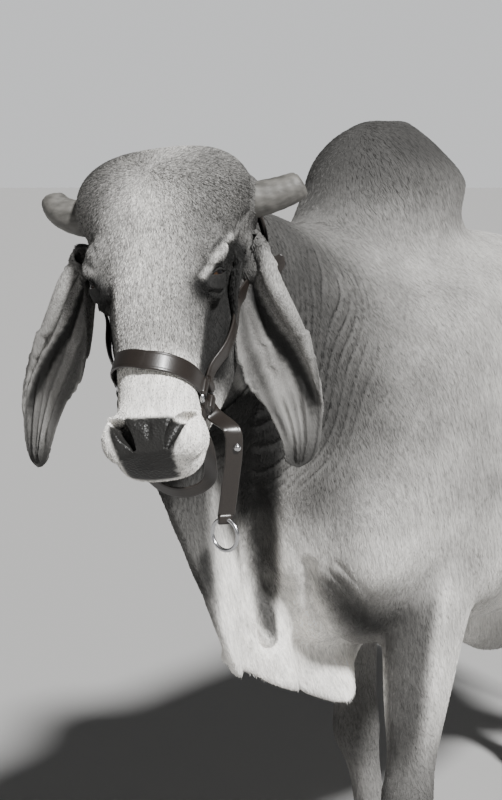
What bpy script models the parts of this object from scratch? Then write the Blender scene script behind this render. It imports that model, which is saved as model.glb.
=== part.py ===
"""A life-size Brahman bull, standing square with the head turned to its left, in a leather halter.

The bull faces -Y, its left side is +X, and it stands on z = 0. Lengths are in metres.
Each part of the body is a tube or sheet carried along a line through a few named sections. The forms are
blended into one skin, which is then divided into named parts by thin cuts.
"""
import math

import bmesh
import bpy
import numpy as np
from mathutils import Matrix, Vector
from mathutils.bvhtree import BVHTree

# Gap between neighbouring parts, and the coarseness of the two blended skins.
GAP = 0.0003
BODY_VOXEL = 0.011
HEAD_VOXEL = 0.0055
BODY_TRIANGLES = 4450
HEAD_TRIANGLES = 2000

# Heights and lengths of the bull.
HUMP_TOP = 1.70
HUMP_LENGTH = 0.42
HUMP_WIDTH = 0.25
LEFT_FORELEG = (0.160, -0.115, -0.165)
RIGHT_FORELEG = (0.135, 0.020, 0.190)
LEFT_HINDLEG = (0.165, 0.050)
RIGHT_HINDLEG = (0.165, -0.060)
FORELEG_CUT = 0.675
HINDLEG_CUT = 0.72
TAIL_ROOT = (0.0, 1.28, 1.365)

# The head: where the poll is, and how the head is turned, tilted and pitched, in degrees.
POLL = (0.080, -0.753, 1.635)
HEAD_TURN = 28.0
HEAD_TILT = -7.0
HEAD_PITCH = -31.0
NECK_CUT = (0.070, -0.648, 1.390)
NECK_CUT_NORMAL = (-0.25, 0.85, -0.45)
EYE_RADIUS = 0.0195
EYE_PLACE = (0.081, -0.018, -0.240)
EYE_OPENING = (0.017, 0.0105)
EAR_THICKNESS = 0.0085

# Feet and tail switch.
CLAW_WIDTH = 0.050
CLAW_HEIGHT = 0.060
CORONET_TILT = -13.0
SWITCH_LOCKS = 10
SWITCH_LENGTH = 0.36
SWITCH_SEED = 5

# Leather and metal of the halter.
STRAP_WIDTH = 0.028
STRAP_THICKNESS = 0.0045
SIDE_RING_SIZE = 0.019
RING_WIRE = 0.0034
LEAD_RING_RADIUS = 0.023

COLOURS = {
    "coat_grey": ((0.40, 0.40, 0.39), 0.8, 0.0),
    "coat_dark": ((0.13, 0.13, 0.13), 0.8, 0.0),
    "coat_pale": ((0.62, 0.61, 0.59), 0.8, 0.0),
    "horn": ((0.25, 0.24, 0.22), 0.5, 0.0),
    "hoof": ((0.06, 0.055, 0.05), 0.45, 0.0),
    "eye": ((0.02, 0.015, 0.012), 0.08, 0.0),
    "leather": ((0.05, 0.03, 0.02), 0.35, 0.0),
    "steel": ((0.62, 0.62, 0.63), 0.25, 1.0),
}


def clear_scene():
    for obj in list(bpy.data.objects):
        bpy.data.objects.remove(obj)


def material(slot):
    found = bpy.data.materials.get(slot)
    if found:
        return found
    colour, roughness, metallic = COLOURS[slot]
    made = bpy.data.materials.new(slot)
    made.use_nodes = True
    shader = made.node_tree.nodes["Principled BSDF"]
    shader.inputs["Base Color"].default_value = (*colour, 1.0)
    shader.inputs["Roughness"].default_value = roughness
    shader.inputs["Metallic"].default_value = metallic
    return made


def new_object(name, points, faces, slot="coat_grey"):
    """One closed mesh object, with its faces turned outwards."""
    mesh = bpy.data.meshes.new(name)
    mesh.from_pydata([tuple(p) for p in points], [], [tuple(f) for f in faces])
    work = bmesh.new()
    work.from_mesh(mesh)
    bmesh.ops.remove_doubles(work, verts=work.verts, dist=1e-6)
    bmesh.ops.recalc_face_normals(work, faces=work.faces)
    work.to_mesh(mesh)
    work.free()
    obj = bpy.data.objects.new(name, mesh)
    bpy.context.scene.collection.objects.link(obj)
    mesh.materials.append(material(slot))
    return obj


def smooth_rows(rows, count):
    """Rows of numbers, joined by a smooth curve through each column, at count even places."""
    rows = np.asarray(rows, float)
    place = np.linspace(0, len(rows) - 1, count)
    low = np.minimum(place.astype(int), len(rows) - 2)
    t = (place - low)[:, None]
    padded = np.vstack([2 * rows[0] - rows[1], rows, 2 * rows[-1] - rows[-2]])
    before, start, end, after = (padded[low + k] for k in range(4))
    return 0.5 * (
        2 * start
        + (end - before) * t
        + (2 * before - 5 * start + 4 * end - after) * t**2
        + (3 * start - before - 3 * end + after) * t**3
    )


def carry(rows, hint, rings=24, sides=20, power=2.3):
    """A closed tube. Each row is x, y, z, half width, reach towards hint and reach away from it."""
    table = smooth_rows(rows, rings)
    centre = table[:, :3]
    along = np.gradient(centre, axis=0)
    along /= np.linalg.norm(along, axis=1)[:, None]
    across = np.cross(along, np.asarray(hint, float))
    across /= np.linalg.norm(across, axis=1)[:, None]
    front = np.cross(across, along)
    width, ahead, behind = (np.maximum(table[:, k], 0.002)[:, None] for k in (3, 4, 5))
    angle = np.linspace(0, 2 * math.pi, sides, endpoint=False)[None, :]
    lateral = np.sign(np.cos(angle)) * np.abs(np.cos(angle)) ** (2 / power) * width
    rise = np.sign(np.sin(angle)) * np.abs(np.sin(angle)) ** (2 / power)
    rise = np.where(rise > 0, rise * ahead, rise * behind)
    ring = centre[:, None] + lateral[..., None] * across[:, None] + rise[..., None] * front[:, None]
    points = np.vstack([ring.reshape(-1, 3), centre[:1], centre[-1:]])
    faces = []
    for r in range(rings - 1):
        for s in range(sides):
            n = (s + 1) % sides
            faces.append((r * sides + s, r * sides + n, (r + 1) * sides + n, (r + 1) * sides + s))
    first, last = rings * sides, rings * sides + 1
    top = (rings - 1) * sides
    faces += [(first, (s + 1) % sides, s) for s in range(sides)]
    faces += [(last, top + s, top + (s + 1) % sides) for s in range(sides)]
    return points, faces


def blob(centre, radii, turn=(0, 0, 0), sides=20):
    """An ellipsoid of muscle or bone, turned by three angles in degrees about X, Y and Z."""
    work = bmesh.new()
    bmesh.ops.create_uvsphere(work, u_segments=sides, v_segments=sides // 2, radius=1.0)
    spin = Matrix.Identity(3)
    for axis, angle in zip("XYZ", turn):
        spin = Matrix.Rotation(math.radians(angle), 3, axis) @ spin
    points = np.array([spin @ Vector(np.array(v.co) * radii) for v in work.verts]) + np.array(centre)
    faces = [tuple(v.index for v in f.verts) for f in work.faces]
    work.free()
    return points, faces


def sheet(middle, half, across):
    """A closed sheet: a grid of middle points, pushed half its thickness both ways along across."""
    rows, columns = middle.shape[:2]
    offset = half[..., None] * across
    points = np.vstack([(middle + offset).reshape(-1, 3), (middle - offset).reshape(-1, 3)])
    count = rows * columns
    faces = []
    for r in range(rows - 1):
        for c in range(columns - 1):
            a, b = r * columns + c, r * columns + c + 1
            d, e = a + columns, b + columns
            faces += [(a, b, e), (a, e, d)]
            faces += [(count + a, count + e, count + b), (count + a, count + d, count + e)]
    rim = [(0, c) for c in range(columns - 1)] + [(r, columns - 1) for r in range(rows - 1)]
    rim += [(rows - 1, c) for c in range(columns - 1, 0, -1)] + [(r, 0) for r in range(rows - 1, 0, -1)]
    ids = [r * columns + c for r, c in rim]
    for k, a in enumerate(ids):
        b = ids[(k + 1) % len(ids)]
        faces += [(a, count + a, count + b), (a, count + b, b)]
    return points, faces


def mirrored(form):
    points, faces = form
    return points * np.array([-1.0, 1.0, 1.0]), [tuple(reversed(f)) for f in faces]


def settle(obj):
    """Applies an object's modifiers."""
    graph = bpy.context.evaluated_depsgraph_get()
    made = bpy.data.meshes.new_from_object(obj.evaluated_get(graph))
    obj.modifiers.clear()
    obj.data = made
    return obj


def boolean(obj, other, operation):
    """Joins or cuts obj by other, with the quick solver first, since skins have thousands of faces."""
    before = obj.data
    for solver in ("MANIFOLD", "EXACT"):
        obj.data = before
        step = obj.modifiers.new("boolean", "BOOLEAN")
        step.operation = operation
        step.solver = solver
        step.object = other
        settle(obj)
        if len(obj.data.polygons):
            break
    bpy.data.objects.remove(other)
    return obj


def copy_of(obj, name):
    made = bpy.data.objects.new(name, obj.data.copy())
    bpy.context.scene.collection.objects.link(made)
    return made


def points_of(obj):
    points = np.empty(len(obj.data.vertices) * 3)
    obj.data.vertices.foreach_get("co", points)
    return points.reshape(-1, 3)


def normals_of(obj):
    normals = np.empty(len(obj.data.vertices) * 3)
    obj.data.vertex_normals.foreach_get("vector", normals)
    return normals.reshape(-1, 3)


def move_points(obj, points):
    obj.data.vertices.foreach_set("co", np.asarray(points, float).ravel())
    obj.data.update()


def grown(obj, name, by):
    """A copy whose surface stands out by this much."""
    made = copy_of(obj, name)
    move_points(made, points_of(made) + by * normals_of(made))
    return made


def keep_largest(obj):
    """Drops loose scraps that a cut leaves, so that the part is one closed body."""
    work = bmesh.new()
    work.from_mesh(obj.data)
    bmesh.ops.remove_doubles(work, verts=work.verts, dist=1e-6)
    left, groups = set(work.verts), []
    while left:
        group, edge = set(), [left.pop()]
        while edge:
            vertex = edge.pop()
            group.add(vertex)
            near = [e.other_vert(vertex) for e in vertex.link_edges]
            edge += [v for v in near if v in left]
            left.difference_update(near)
        groups.append(group)
    groups.sort(key=len)
    bmesh.ops.delete(work, geom=[v for g in groups[:-1] for v in g], context="VERTS")
    work.to_mesh(obj.data)
    work.free()
    return obj


def blend(name, forms, voxel, smoothing):
    """One closed skin over all the forms, with soft creases where they meet."""
    points, faces, start = [], [], 0
    for form_points, form_faces in forms:
        points.append(form_points)
        faces += [tuple(i + start for i in f) for f in form_faces]
        start += len(form_points)
    obj = new_object(name, np.vstack(points), faces)
    remesh = obj.modifiers.new("remesh", "REMESH")
    remesh.mode = "VOXEL"
    remesh.voxel_size = voxel
    soften = obj.modifiers.new("soften", "SMOOTH")
    soften.factor = 0.5
    soften.iterations = smoothing
    return settle(obj)


def thin_out(obj, triangles):
    """Fewer triangles, kept where the form bends most."""
    fewer = obj.modifiers.new("fewer", "DECIMATE")
    fewer.ratio = triangles / sum(len(p.vertices) - 2 for p in obj.data.polygons)
    return keep_largest(settle(obj))


def press(obj, strokes):
    """Raises or sinks the skin along lines: each stroke is a list of points, a radius and a height."""
    points, normals = points_of(obj), normals_of(obj)
    move = np.zeros(len(points))
    for line, radius, height in strokes:
        line = np.atleast_2d(np.asarray(line, float))
        starts = line[:-1] if len(line) > 1 else line
        ends = line[1:] if len(line) > 1 else line
        away = np.full(len(points), 1e9)
        for a, b in zip(starts, ends):
            run = b - a
            share = np.clip((points - a) @ run / max(run @ run, 1e-12), 0, 1)
            away = np.minimum(away, np.linalg.norm(points - a - share[:, None] * run, axis=1))
        move += height * np.exp(-((away / radius) ** 2))
    move_points(obj, points + move[:, None] * normals)


def box(name, centre, size, turn=(0, 0, 0)):
    """A cutter: a box turned by three angles in degrees about X, Y and Z."""
    work = bmesh.new()
    bmesh.ops.create_cube(work, size=1.0)
    points = [np.array(v.co) * size for v in work.verts]
    faces = [tuple(v.index for v in f.verts) for f in work.faces]
    work.free()
    spin = Matrix.Identity(3)
    for axis, angle in zip("XYZ", turn):
        spin = Matrix.Rotation(math.radians(angle), 3, axis) @ spin
    return new_object(name, [np.array(spin @ Vector(p)) + centre for p in points], faces)


def divide(body, name, centre, size, turn=(0, 0, 0), slot="coat_grey"):
    """Cuts the part of body inside a box out as its own object, with a thin gap all round."""
    size = np.array(size, float)
    centre = np.array(centre, float)
    part = copy_of(body, name)
    boolean(part, box("inner_cutter", centre, size - GAP, turn), "INTERSECT")
    boolean(body, box("outer_cutter", centre, size + GAP, turn), "DIFFERENCE")
    part.data.materials.clear()
    part.data.materials.append(material(slot))
    return keep_largest(part)


def surface_tree(obj):
    faces = [tuple(p.vertices) for p in obj.data.polygons]
    return BVHTree.FromPolygons([v.co.copy() for v in obj.data.vertices], faces)


def on_skin(tree, inside, outward):
    """The outermost place where a line from inside, run outwards, leaves the skin."""
    outward = Vector(outward).normalized()
    far = Vector(inside) + outward * 0.5
    hit = tree.ray_cast(far, -outward, 1.0)[0]
    return np.array(hit if hit else inside)


def plane_box(name, point, normal, offset):
    """A large box whose one face is the plane through point, moved along the normal by offset."""
    normal = Vector(normal).normalized()
    spin = normal.to_track_quat("Z", "Y").to_matrix()
    work = bmesh.new()
    bmesh.ops.create_cube(work, size=1.6)
    centre = Vector(point) + normal * (offset + 0.8)
    points = [spin @ v.co + centre for v in work.verts]
    faces = [tuple(v.index for v in f.verts) for f in work.faces]
    work.free()
    return new_object(name, points, faces)


def closed_tube(path, radius, sides=8):
    """A ring of wire along a closed path of points."""
    path = np.asarray(path, float)
    along = np.roll(path, -1, 0) - np.roll(path, 1, 0)
    along /= np.linalg.norm(along, axis=1)[:, None]
    middle = path - path.mean(axis=0)
    flat = np.cross(middle[0], along[0])
    flat /= np.linalg.norm(flat)
    side = np.cross(along, flat)
    side /= np.linalg.norm(side, axis=1)[:, None]
    angle = np.linspace(0, 2 * math.pi, sides, endpoint=False)
    ring = path[:, None] + radius * (
        np.cos(angle)[None, :, None] * side[:, None] + np.sin(angle)[None, :, None] * flat[None, None]
    )
    faces = []
    count = len(path)
    for r in range(count):
        for s in range(sides):
            n, m = (s + 1) % sides, (r + 1) % count
            faces.append((r * sides + s, r * sides + n, m * sides + n, m * sides + s))
    return ring.reshape(-1, 3), faces


def ring_path(centre, across, up, half, power=2.0, count=32):
    """Points round a ring: a circle at power 2, and nearly a square at a higher power."""
    angle = np.linspace(0, 2 * math.pi, count, endpoint=False)
    u = np.sign(np.cos(angle)) * np.abs(np.cos(angle)) ** (2 / power) * half
    v = np.sign(np.sin(angle)) * np.abs(np.sin(angle)) ** (2 / power) * half
    return np.array(centre) + u[:, None] * np.array(across) + v[:, None] * np.array(up)


def band(inner, outer, closed):
    """A strap: inner and outer are grids of points, along the strap and across it."""
    rows, columns = inner.shape[:2]
    points = np.concatenate([inner, outer[:, ::-1]], axis=1)
    width = points.shape[1]
    faces = []
    for r in range(rows if closed else rows - 1):
        n = (r + 1) % rows
        for c in range(width):
            d = (c + 1) % width
            faces.append((r * width + c, n * width + c, n * width + d, r * width + d))
    if not closed:
        for r, flip in ((0, False), (rows - 1, True)):
            for c in range(columns - 1):
                first, last = r * width + c, r * width + width - 1 - c
                quad = (first, first + 1, last - 1, last)
                faces.append(tuple(reversed(quad)) if flip else quad)
    return points.reshape(-1, 3), faces


def skin_strap(tree, inside, outward, lift=0.0018, tip=1.0):
    """A strap that lies on the skin. Each row of inside and outward places one section of it."""
    outward = outward / np.linalg.norm(outward, axis=1)[:, None]
    middle = np.array([on_skin(tree, i, o) for i, o in zip(inside, outward)])
    along = np.gradient(middle, axis=0)
    wide = np.cross(along, outward)
    wide /= np.linalg.norm(wide, axis=1)[:, None]
    narrow = np.ones(len(middle))
    narrow[-1] = tip
    inner = np.empty((len(middle), 3, 3))
    for c, share in enumerate((-0.5, 0.0, 0.5)):
        starts = np.asarray(inside) + share * STRAP_WIDTH * narrow[:, None] * wide
        inner[:, c] = [on_skin(tree, i, o) for i, o in zip(starts, outward)]
    skin = inner.copy()
    for _ in range(3):
        inner[1:-1] = (inner[:-2] + 2 * inner[1:-1] + inner[2:]) / 4
        sunk = np.clip(((skin - inner) * outward[:, None]).sum(axis=2), 0, None)
        inner += sunk[..., None] * outward[:, None]
    inner = inner + lift * outward[:, None]
    return band(inner, inner + STRAP_THICKNESS * outward[:, None], False)


def free_strap(rows, width=STRAP_WIDTH, thickness=STRAP_THICKNESS, count=20):
    """A strap that hangs free. Each row is x, y, z of its middle and the direction of its width."""
    table = smooth_rows(rows, count)
    middle, wide = table[:, :3], table[:, 3:6]
    wide = wide / np.linalg.norm(wide, axis=1)[:, None]
    along = np.gradient(middle, axis=0)
    out = np.cross(along, wide)
    out /= np.linalg.norm(out, axis=1)[:, None]
    shares = np.array([-0.5, 0.0, 0.5])[None, :, None] * width
    inner = middle[:, None] + shares * wide[:, None] - out[:, None] * thickness / 2
    return band(inner, inner + out[:, None] * thickness, False)


def join_forms(name, forms, slot):
    """Several closed forms, joined into one closed body."""
    whole = new_object(name, *forms[0], slot)
    for k, form in enumerate(forms[1:]):
        boolean(whole, new_object(f"piece_{k}", *form, slot), "UNION")
    return keep_largest(whole)


def head_matrix():
    turn = Matrix.Rotation(math.radians(HEAD_TURN), 4, "Z")
    tilt = Matrix.Rotation(math.radians(HEAD_TILT), 4, "Y")
    pitch = Matrix.Rotation(math.radians(HEAD_PITCH), 4, "X")
    return Matrix.Translation(POLL) @ turn @ tilt @ pitch


def from_head(points):
    """Points of the head's own frame (left, back, up from the poll) in the bull's frame."""
    points = np.atleast_2d(np.asarray(points, float))
    place = np.array(head_matrix())
    return points @ place[:3, :3].T + place[:3, 3]


def torso_forms():
    # x, y, z, half width, up, down
    trunk = [
        (0, -0.50, 1.08, 0.05, 0.06, 0.06),
        (0, -0.46, 1.08, 0.14, 0.20, 0.20),
        (0, -0.34, 1.09, 0.225, 0.33, 0.32),
        (0, -0.18, 1.08, 0.265, 0.40, 0.37),
        (0, 0.02, 1.07, 0.285, 0.435, 0.385),
        (0, 0.25, 1.06, 0.30, 0.432, 0.395),
        (0, 0.52, 1.05, 0.335, 0.41, 0.405),
        (0, 0.78, 1.07, 0.325, 0.395, 0.39),
        (0, 0.95, 1.12, 0.285, 0.37, 0.37),
        (0, 1.10, 1.18, 0.245, 0.305, 0.34),
        (0, 1.22, 1.22, 0.19, 0.23, 0.29),
        (0, 1.30, 1.23, 0.10, 0.12, 0.17),
    ]
    forms = [carry(trunk, (0, 0, 1), rings=40, sides=32, power=2.25)]
    pairs = [
        blob((0.172, -0.09, 1.15), (0.105, 0.17, 0.27), (-14, 4, 0)),
        blob((0.165, -0.30, 0.99), (0.090, 0.12, 0.15)),
        blob((0.195, 0.01, 0.93), (0.085, 0.16, 0.17), (20, 0, 0)),
        blob((0.178, 0.95, 1.335), (0.088, 0.15, 0.085)),
        blob((0.165, 1.06, 1.14), (0.115, 0.21, 0.28)),
        blob((0.10, 1.25, 1.24), (0.07, 0.08, 0.13)),
        blob((0.20, 0.90, 0.98), (0.09, 0.13, 0.14)),
    ]
    return forms + pairs + [mirrored(p) for p in pairs]


def hump_forms():
    """The hump rises from the crest and the withers, and its back edge overhangs the back line a little."""
    half, long = HUMP_WIDTH / 2, HUMP_LENGTH / 2
    top = HUMP_TOP
    rows = [
        (0.0, 0.0, top - 0.34, half * 1.15, long * 1.45, long * 0.90),
        (0.0, 0.0, top - 0.25, half * 1.12, long * 1.38, long * 0.76),
        (0.0, 0.0, top - 0.19, half * 1.08, long * 1.18, long * 0.74),
        (0.0, 0.0, top - 0.15, half * 1.05, long * 1.04, long * 0.90),
        (0.0, 0.0, top - 0.11, half * 1.01, long * 0.92, long * 0.99),
        (0.0, 0.004, top - 0.07, half * 0.86, long * 0.74, long * 0.84),
        (0.0, 0.010, top - 0.032, half * 0.58, long * 0.49, long * 0.53),
        (0.0, 0.014, top - 0.008, half * 0.30, long * 0.26, long * 0.28),
        (0.0, 0.014, top, half * 0.06, long * 0.05, long * 0.06),
    ]
    return [carry(rows, (0, -1, 0), rings=26, sides=26, power=2.1)]


def neck_forms():
    end = from_head([[0, 0.12, -0.17], [0, 0.05, -0.16]])
    rows = [
        (0, -0.02, 1.14, 0.20, 0.30, 0.30),
        (0, -0.20, 1.18, 0.215, 0.33, 0.32),
        (0.012, -0.38, 1.25, 0.185, 0.285, 0.29),
        (0.035, -0.54, 1.34, 0.145, 0.225, 0.23),
        (*end[0], 0.115, 0.160, 0.160),
        (*end[1], 0.075, 0.10, 0.10),
    ]
    return [carry(rows, (0, 0, 1), rings=26, sides=28, power=2.15)]


def dewlap_edges(count):
    """The line along the underside of the neck and chest, and the hanging edge of the dewlap below it."""
    top = [
        (0.098, -0.800, 1.200),
        (0.075, -0.700, 1.190),
        (0.050, -0.590, 1.150),
        (0.030, -0.500, 1.000),
        (0.020, -0.430, 0.850),
        (0.010, -0.300, 0.760),
        (0.005, -0.180, 0.715),
        (0.0, -0.080, 0.700),
    ]
    bottom = [
        (0.100, -0.800, 1.140),
        (0.090, -0.730, 1.030),
        (0.083, -0.665, 0.925),
        (0.080, -0.615, 0.835),
        (0.074, -0.575, 0.770),
        (0.052, -0.530, 0.742),
        (-0.010, -0.490, 0.745),
        (-0.012, -0.455, 0.725),
        (0.048, -0.405, 0.688),
        (0.052, -0.362, 0.672),
        (-0.002, -0.325, 0.668),
        (0.020, -0.280, 0.636),
        (0.050, -0.225, 0.612),
        (0.044, -0.170, 0.612),
        (0.006, -0.125, 0.645),
        (0.0, -0.070, 0.690),
    ]
    return smooth_rows(top, count), smooth_rows(bottom, count)


def dewlap_form(above, above_throat, thickness, below=0.0, columns=60, rows=14):
    """A hanging sheet of skin in three lobes, begun this far above the underside of the neck."""
    top, bottom = dewlap_edges(columns)
    throat = np.clip((-0.56 - top[:, 1]) / 0.08, 0, 1)
    lift = above + (above_throat - above) * throat
    top = top + lift[:, None] * np.array([0, 0.3, 1.0])
    bottom = bottom - np.array([0, 0, below])
    down = np.linspace(0, 1, rows)[None, :, None]
    middle = top[:, None] * (1 - down) + bottom[:, None] * down
    return sheet(middle, np.full(middle.shape[:2], thickness), np.array([1.0, 0.0, 0.0]))


def foreleg_form(x, top, foot):
    """A foreleg whose foot stands ahead of or behind its shoulder. Each row is a height and its section."""
    rows = [
        (x + 0.010, 0.010, 1.02, 0.070, 0.11, 0.13),
        (x + 0.012, 0.010, 0.87, 0.080, 0.115, 0.135),
        (x + 0.008, 0.005, 0.75, 0.071, 0.092, 0.105),
        (x + 0.004, 0.000, 0.62, 0.059, 0.072, 0.078),
        (x, 0.000, 0.50, 0.047, 0.052, 0.054),
        (x, -0.006, 0.425, 0.052, 0.058, 0.050),
        (x - 0.002, -0.002, 0.35, 0.038, 0.040, 0.044),
        (x - 0.004, 0.002, 0.26, 0.035, 0.036, 0.041),
        (x - 0.004, 0.002, 0.185, 0.038, 0.038, 0.046),
        (x - 0.004, -0.004, 0.14, 0.047, 0.047, 0.052),
        (x - 0.004, -0.014, 0.098, 0.045, 0.044, 0.046),
        (x - 0.004, -0.024, 0.062, 0.053, 0.058, 0.054),
        (x - 0.004, -0.026, 0.034, 0.050, 0.056, 0.050),
    ]
    share = [min(1.0, max(0.0, (0.95 - r[2]) / 0.85)) for r in rows]
    rows = [(r[0], r[1] + top + (foot - top) * part, *r[2:]) for r, part in zip(rows, share)]
    return carry(rows, (0, -1, 0), rings=44, sides=18, power=2.1)


def hindleg_form(x, step):
    rows = [
        (x - 0.015, 1.05, 1.20, 0.12, 0.20, 0.18),
        (x + 0.000, 1.03, 1.04, 0.125, 0.21, 0.205),
        (x + 0.010, 1.00 + step * 0.1, 0.89, 0.105, 0.165, 0.185),
        (x + 0.010, 1.035 + step * 0.3, 0.75, 0.078, 0.108, 0.124),
        (x + 0.005, 1.100 + step * 0.6, 0.63, 0.057, 0.065, 0.080),
        (x, 1.160 + step * 0.9, 0.53, 0.046, 0.052, 0.065),
        (x, 1.170 + step, 0.46, 0.045, 0.054, 0.048),
        (x, 1.160 + step, 0.36, 0.038, 0.039, 0.043),
        (x, 1.152 + step, 0.26, 0.036, 0.036, 0.041),
        (x, 1.148 + step, 0.185, 0.039, 0.038, 0.046),
        (x, 1.142 + step, 0.14, 0.047, 0.046, 0.052),
        (x, 1.130 + step, 0.098, 0.045, 0.043, 0.046),
        (x, 1.120 + step, 0.062, 0.053, 0.058, 0.054),
        (x, 1.118 + step, 0.034, 0.050, 0.056, 0.050),
    ]
    return carry(rows, (0, -1, 0), rings=48, sides=18, power=2.1)


def feet():
    """Name and place of each foot, at the middle of its two claws."""
    return {
        "fore_left": (LEFT_FORELEG[0] - 0.004, LEFT_FORELEG[2] - 0.026),
        "fore_right": (-RIGHT_FORELEG[0] + 0.004, RIGHT_FORELEG[2] - 0.026),
        "hind_left": (LEFT_HINDLEG[0], LEFT_HINDLEG[1] + 1.118),
        "hind_right": (-RIGHT_HINDLEG[0], RIGHT_HINDLEG[1] + 1.118),
    }


def dewclaws(x, y):
    size = (0.014, 0.014, 0.021)
    return [blob((x + side * 0.026, y + 0.070, 0.098), size, (-25, 0, 0), 10) for side in (1, -1)]


def tail_form():
    x, y, z = TAIL_ROOT
    rows = [
        (x, y - 0.14, z + 0.01, 0.040, 0.030, 0.03),
        (x, y - 0.03, z + 0.015, 0.038, 0.032, 0.04),
        (x, y + 0.055, z - 0.05, 0.034, 0.030, 0.034),
        (x, y + 0.085, z - 0.17, 0.028, 0.026, 0.026),
        (x + 0.004, y + 0.085, z - 0.36, 0.023, 0.021, 0.021),
        (x + 0.008, y + 0.080, z - 0.56, 0.019, 0.018, 0.018),
        (x + 0.008, y + 0.078, z - 0.76, 0.016, 0.015, 0.015),
    ]
    return carry(rows, (0, 0.3, 1), rings=22, sides=10, power=2.0)


def switch_forms():
    """The switch at the tail's end: a core, and flat tapered locks that overlap all round it."""
    rng = np.random.default_rng(SWITCH_SEED)
    x, y, z = TAIL_ROOT[0] + 0.008, TAIL_ROOT[1] + 0.078, TAIL_ROOT[2] - 0.755
    core = [
        (x, y, z, 0.015, 0.015, 0.015),
        (x, y, z - 0.07, 0.027, 0.026, 0.026),
        (x, y, z - 0.20, 0.026, 0.025, 0.025),
        (x, y, z - SWITCH_LENGTH * 0.85, 0.012, 0.012, 0.012),
    ]
    forms = [carry(core, (0, 1, 0), rings=7, sides=8, power=2.0)]
    # Share of the lock's length, how far it stands out there, and its half width and half thickness.
    sections = ((0, 0, 0.010, 0.006), (0.3, 0.014, 0.014, 0.007))
    sections += ((0.7, 0.012, 0.011, 0.005), (1, -0.002, 0.002, 0.002))
    for k in range(SWITCH_LOCKS):
        angle = 2 * math.pi * k / SWITCH_LOCKS * 1.618 * 3
        start = -0.03 - 0.17 * (k / SWITCH_LOCKS)
        length = SWITCH_LENGTH * (0.42 + 0.22 * rng.random())
        out = np.array([math.cos(angle), math.sin(angle), 0.0])
        bend = 0.012 * (rng.random() - 0.5)
        side = np.array([-out[1], out[0], 0.0])
        root = np.array([x, y, z + start]) + out * 0.017
        lock = []
        for share, away, wide, thick in sections:
            point = root + out * away + side * bend * share - np.array([0, 0, length * share])
            lock.append((*point, wide, thick, thick))
        forms.append(carry(lock, out, rings=5, sides=4, power=2.0))
    return forms


def underside_forms():
    """The sheath with its flap of navel skin, and the scrotum, as on any bull."""
    sheath = [
        (0, 0.20, 0.70, 0.03, 0.05, 0.04),
        (0, 0.32, 0.66, 0.038, 0.06, 0.065),
        (0, 0.44, 0.625, 0.038, 0.07, 0.085),
        (0, 0.54, 0.60, 0.040, 0.08, 0.070),
        (0, 0.63, 0.63, 0.034, 0.06, 0.050),
        (0, 0.78, 0.68, 0.028, 0.05, 0.030),
    ]
    scrotum = [
        (0, 0.97, 0.80, 0.050, 0.04, 0.05),
        (0, 0.985, 0.70, 0.048, 0.040, 0.045),
        (0, 0.99, 0.62, 0.068, 0.055, 0.058),
        (0, 0.99, 0.555, 0.066, 0.055, 0.055),
        (0, 0.985, 0.515, 0.030, 0.025, 0.025),
    ]
    return [carry(sheath, (0, 0, 1), rings=20, sides=14), carry(scrotum, (0, -1, 0), rings=16, sides=14)]


def head_forms():
    # In the head's own frame: left, back, up from the poll, half width, towards the face, towards the nape
    skull = [
        (0, 0.055, 0.004, 0.02, 0.02, 0.02),
        (0, 0.052, -0.010, 0.092, 0.052, 0.06),
        (0, 0.046, -0.045, 0.128, 0.084, 0.09),
        (0, 0.040, -0.090, 0.137, 0.103, 0.115),
        (0, 0.036, -0.140, 0.119, 0.110, 0.122),
        (0, 0.032, -0.200, 0.097, 0.108, 0.12),
        (0, 0.028, -0.265, 0.079, 0.100, 0.11),
        (0, 0.022, -0.330, 0.068, 0.090, 0.09),
        (0, 0.018, -0.395, 0.060, 0.080, 0.07),
        (0, 0.014, -0.455, 0.059, 0.070, 0.055),
        (0, 0.008, -0.495, 0.063, 0.058, 0.046),
        (0, 0.006, -0.518, 0.052, 0.046, 0.032),
        (0, 0.004, -0.528, 0.020, 0.018, 0.012),
    ]
    jaw = [
        (0, 0.115, -0.150, 0.045, 0.04, 0.04),
        (0, 0.130, -0.200, 0.082, 0.060, 0.060),
        (0, 0.125, -0.275, 0.090, 0.070, 0.074),
        (0, 0.103, -0.345, 0.080, 0.060, 0.064),
        (0, 0.082, -0.410, 0.058, 0.050, 0.050),
        (0, 0.072, -0.455, 0.047, 0.045, 0.038),
        (0, 0.065, -0.485, 0.042, 0.034, 0.030),
        (0, 0.062, -0.503, 0.020, 0.015, 0.014),
    ]
    forms = [carry(skull, (0, -1, 0), rings=40, sides=32, power=2.6)]
    forms.append(carry(jaw, (0, -1, 0), rings=26, sides=24))
    forms.append(blob((0, 0.000, -0.474), (0.070, 0.058, 0.050)))
    pairs = [
        blob((0.070, -0.004, -0.235), (0.030, 0.040, 0.044)),
        blob((0.076, -0.028, -0.195), (0.028, 0.030, 0.045), (0, -18, 0)),
        blob((0.060, 0.085, -0.265), (0.034, 0.075, 0.100)),
        blob((0.112, 0.045, -0.080), (0.036, 0.042, 0.042)),
        blob((0.046, -0.022, -0.480), (0.031, 0.030, 0.036)),
        blob((0.100, 0.078, -0.145), (0.034, 0.038, 0.042)),
    ]
    forms += pairs + [mirrored(p) for p in pairs]
    return [(from_head(points), faces) for points, faces in forms]


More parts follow.
